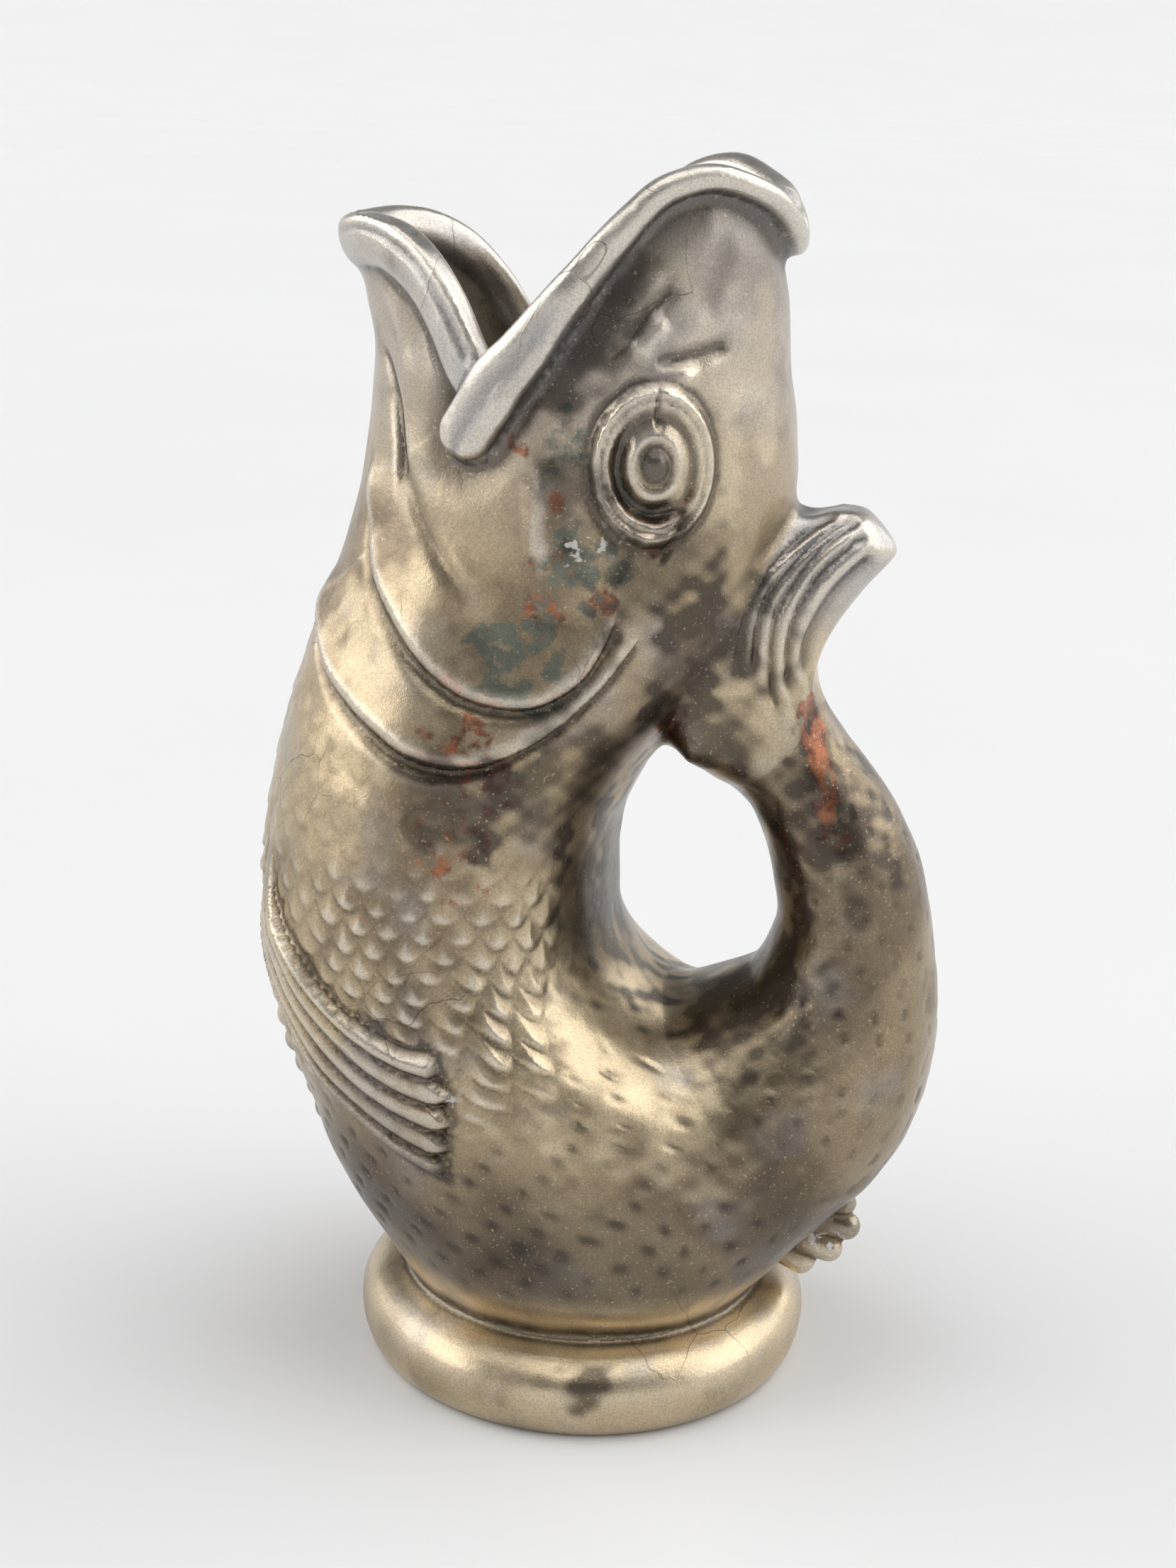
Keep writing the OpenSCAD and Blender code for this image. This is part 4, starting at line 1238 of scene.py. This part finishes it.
class Nodes:
    """Short calls for making and joining a material's nodes."""

    def __init__(self, tree):
        self.tree = tree

    def put(self, socket, value):
        if hasattr(value, "node"):
            self.tree.links.new(value, socket)
        else:
            socket.default_value = value

    def add(self, kind, inputs=(), **settings):
        node = self.tree.nodes.new(kind)
        for key, value in settings.items():
            setattr(node, key, value)
        for key, value in dict(inputs).items():
            self.put(node.inputs[key], value)
        return node

    def noise(self, at, scale, detail=3.0):
        settings = {"Vector": at, "Scale": scale, "Detail": detail}
        return self.add("ShaderNodeTexNoise", settings).outputs["Fac"]

    def ramp(self, value, low, high, to=(0.0, 1.0)):
        spread = {"Value": value, "From Min": low, "From Max": high, "To Min": to[0], "To Max": to[1]}
        return self.add("ShaderNodeMapRange", spread, interpolation_type="SMOOTHSTEP").outputs["Result"]

    def mix(self, share, a, b):
        return self.add("ShaderNodeMix", {0: share, 6: a, 7: b}, data_type="RGBA").outputs[2]

    def math(self, kind, a, b):
        return self.add("ShaderNodeMath", {0: a, 1: b}, operation=kind).outputs[0]

    def times(self, a, b):
        return self.math("MULTIPLY", a, b)


def glaze_colour(n, at, channel):
    """Lustre in clouds of gold, bronze and pewter, with copper, green, worn crests and dark hollows, and the
    painted shade, painted highlights and painted light that the attributes carry.
    """
    stain = n.noise(at, 95.0, 5.0)
    grain = n.noise(at, 2600.0, 2.0)
    pewter = n.mix(n.ramp(n.noise(at, 60.0, 4.0), 0.56, 0.76), PEWTER, SLATE)
    grey = n.math("MAXIMUM", channel["pewter"], n.ramp(n.noise(at, 48.0), 0.52, 0.72, (0.0, 0.45)))
    ragged = n.ramp(n.noise(at, 380.0, 5.0), 0.3, 0.7, (-0.4, 0.4))
    red = n.mix(n.ramp(n.noise(at, 240.0, 3.0), 0.42, 0.58), COPPER, OXIDE)
    colour = n.mix(n.ramp(n.noise(at, 30.0, 4.0), 0.38, 0.58), BRONZE, GOLD)
    for share, over in (
        # Painted highlights where the gold channel is up
        (n.times(channel["gold"], 0.7), BRIGHT),
        (n.ramp(stain, 0.52, 0.78, (0.0, 0.5)), UMBER),
        (n.times(n.ramp(stain, 0.3, 0.65, (0.8, 1.0)), grey), pewter),
        (n.ramp(n.math("ADD", channel["copper"], ragged), 0.35, 0.85, (0.0, 0.85)), red),
        (n.ramp(n.math("ADD", channel["green"], ragged), 0.40, 0.95, (0.0, 0.85)), GREEN),
        # Lighter crests, and painted light inside the jug
        (n.times(channel["crest"], 0.55), CREST),
        # Dark hollows and dark marks, with the painted shade that the dark channel carries
        (n.math("MAXIMUM", n.times(channel["hollow"], 0.7), n.times(channel["dark"], 0.85)), UMBER),
        (n.ramp(grain, 0.40, 0.58, (0.2, 0.0)), UMBER),
        (n.ramp(n.noise(at, 1500.0, 3.0), 0.62, 0.72, (0.0, 0.3)), BRIGHT),
    ):
        colour = n.mix(share, colour, over)
    return colour, stain, grain


def crazing(n, at):
    """Thin wandering cracks in parts of the glaze."""
    drift = n.add("ShaderNodeTexNoise", {"Vector": at, "Scale": 90.0}).outputs["Color"]
    drift = n.add("ShaderNodeVectorMath", {0: drift, "Scale": 0.006}, operation="SCALE").outputs[0]
    bent = n.add("ShaderNodeVectorMath", {0: at, 1: drift}, operation="ADD").outputs[0]
    cells = {"Vector": bent, "Scale": 42.0}
    crack = n.add("ShaderNodeTexVoronoi", cells, feature="DISTANCE_TO_EDGE").outputs[0]
    return n.times(n.ramp(crack, 0.002, 0.007, (1.0, 0.0)), n.ramp(n.noise(at, 22.0), 0.52, 0.66))


def pale_spots(n, at, channel):
    """Small chips and pits that show the pale body."""
    chip = n.add("ShaderNodeTexVoronoi", {"Vector": at, "Scale": 190.0}).outputs["Distance"]
    chip = n.times(n.ramp(chip, 0.03, 0.07, (0.8, 0.0)), n.ramp(n.noise(at, 60.0), 0.63, 0.70))
    pit = n.times(n.ramp(n.noise(at, 520.0, 3.0), 0.55, 0.62), channel["pits"])
    return n.math("MAXIMUM", chip, pit)


def glaze(slot):
    name = "glaze_" + slot
    if name in bpy.data.materials:
        return bpy.data.materials[name]
    material = bpy.data.materials.new(name)
    material.use_nodes = True
    n = Nodes(material.node_tree)
    at = n.add("ShaderNodeTexCoord").outputs["Object"]
    channel = {}
    for layer, channels in LAYERS.items():
        colour = n.add("ShaderNodeVertexColor", layer_name=layer)
        split = n.add("ShaderNodeSeparateColor", {"Color": colour.outputs["Color"]})
        channel.update(zip(channels, [*split.outputs, colour.outputs["Alpha"]]))
    colour, stain, grain = glaze_colour(n, at, channel)
    line = crazing(n, at)
    spot = pale_spots(n, at, channel)
    colour = n.mix(spot, n.mix(n.times(line, 0.5), colour, UMBER), PALE)
    bumps = {}
    for height, strength, distance in ((grain, 0.10, 0.0003), (stain, 0.25, 0.0012), (line, 0.2, 0.0002)):
        bumps = {"Height": height, "Strength": strength, "Distance": distance, **bumps}
        bumps = {"Normal": n.add("ShaderNodeBump", bumps).outputs[0]}
    low, high = FINISH[slot] - 0.05, FINISH[slot] + 0.09
    rough = n.math("ADD", n.ramp(stain, 0.3, 0.7, (low, high)), n.times(spot, 0.3))
    metal = n.math("SUBTRACT", 0.88, n.times(spot, 0.8))
    finish = {
        "Base Color": colour, "Roughness": rough, "Metallic": metal, **bumps,
        "Coat Weight": 0.15, "Coat Roughness": 0.25,
    }
    for socket, value in finish.items():
        n.put(material.node_tree.nodes["Principled BSDF"].inputs[socket], value)
    return material


# Floor, light and camera
FLOOR = (0.72, 0.72, 0.72, 1)
HORIZON = (0.46, 0.46, 0.47, 1)
OVERHEAD = (0.20, 0.20, 0.21, 1)
# Where each light comes from, its strength, and how wide it is in degrees
LIGHTS = {
    "left": ((-1.0, -0.09, 0.30), 2.5, 72),
    "right": ((0.94, 0.30, 0.48), 2.6, 80),
    "top": ((0.0, -0.15, 1.0), 1.4, 66),
}


def floor_material():
    material = bpy.data.materials.new("pale_floor")
    material.use_nodes = True
    n = Nodes(material.node_tree)
    shader = material.node_tree.nodes["Principled BSDF"]
    at = n.add("ShaderNodeTexCoord").outputs["Object"]
    darker = tuple(0.94 * c for c in FLOOR[:3]) + (1,)
    mixed = n.mix(n.ramp(n.noise(at, 3.0), 0.3, 0.7, (0.0, 0.3)), FLOOR, darker)
    n.put(shader.inputs["Base Color"], mixed)
    n.put(shader.inputs["Roughness"], 0.7)
    return material


def make_floor(radius=16.0, height=3.0, bend=8.0, sectors=128):
    """A round floor that curves up into a wall far behind the object on every side."""
    turn = np.linspace(0, math.acos(1 - height / bend), 16)
    outline = [(radius - bend + bend * math.sin(t), bend - bend * math.cos(t)) for t in turn]
    points = [(0.0, 0.0, 0.0)]
    faces = []
    for i in range(sectors):
        a = 2 * math.pi * i / sectors
        points += [(r * math.cos(a), r * math.sin(a), z) for r, z in outline]
    step = len(outline)
    for i in range(sectors):
        p, q = 1 + i * step, 1 + (i + 1) % sectors * step
        faces.append((0, p, q))
        faces += [(p + k, p + k + 1, q + k + 1, q + k) for k in range(step - 1)]
    mesh = bpy.data.meshes.new("floor")
    mesh.from_pydata(points, [], faces)
    mesh.polygons.foreach_set("use_smooth", [True] * len(faces))
    floor = bpy.data.objects.new("floor", mesh)
    bpy.context.scene.collection.objects.link(floor)
    mesh.materials.append(floor_material())


def make_sky_light(name, way, strength, spread):
    """A wide soft light from far away, which lights the whole floor alike."""
    light = bpy.data.lights.new(name, "SUN")
    light.energy = strength
    light.angle = math.radians(spread)
    lamp = bpy.data.objects.new(name, light)
    lamp.rotation_euler = (-Vector(way)).to_track_quat("-Z", "Y").to_euler()
    bpy.context.scene.collection.objects.link(lamp)


def make_world():
    world = bpy.data.worlds.new("studio")
    bpy.context.scene.world = world
    world.use_nodes = True
    n = Nodes(world.node_tree)
    at = n.add("ShaderNodeTexCoord").outputs["Generated"]
    height = n.add("ShaderNodeSeparateXYZ", {"Vector": at}).outputs["Z"]
    shade = n.mix(n.ramp(height, 0.1, 0.6), HORIZON, OVERHEAD)
    n.put(world.node_tree.nodes["Background"].inputs["Color"], shade)


# The photograph's camera: place in metres, turn, tilt and roll in degrees, and lens in mm
CAMERA_AT = (0.0593, -0.4403, 0.2628)
CAMERA_TURN = 8.0
CAMERA_DOWN = 17.78
CAMERA_ROLL = 2.0
LENS = 54.07


def make_camera():
    data = bpy.data.cameras.new("camera")
    data.lens = LENS
    data.clip_start = 0.01
    camera = bpy.data.objects.new("camera", data)
    bpy.context.scene.collection.objects.link(camera)
    turn, down = math.radians(CAMERA_TURN), math.radians(CAMERA_DOWN)
    look = Matrix.Rotation(turn, 4, "Z") @ Matrix.Rotation(math.pi / 2 - down, 4, "X")
    roll = Matrix.Rotation(math.radians(CAMERA_ROLL), 4, "Z")
    camera.matrix_world = Matrix.Translation(CAMERA_AT) @ look @ roll
    bpy.context.scene.camera = camera


def main():
    bpy.context.scene.view_settings.view_transform = "Standard"
    dress(Surface())
    make_floor()
    make_world()
    for name, (way, strength, spread) in LIGHTS.items():
        make_sky_light(name, way, strength, spread)
    make_camera()


main()
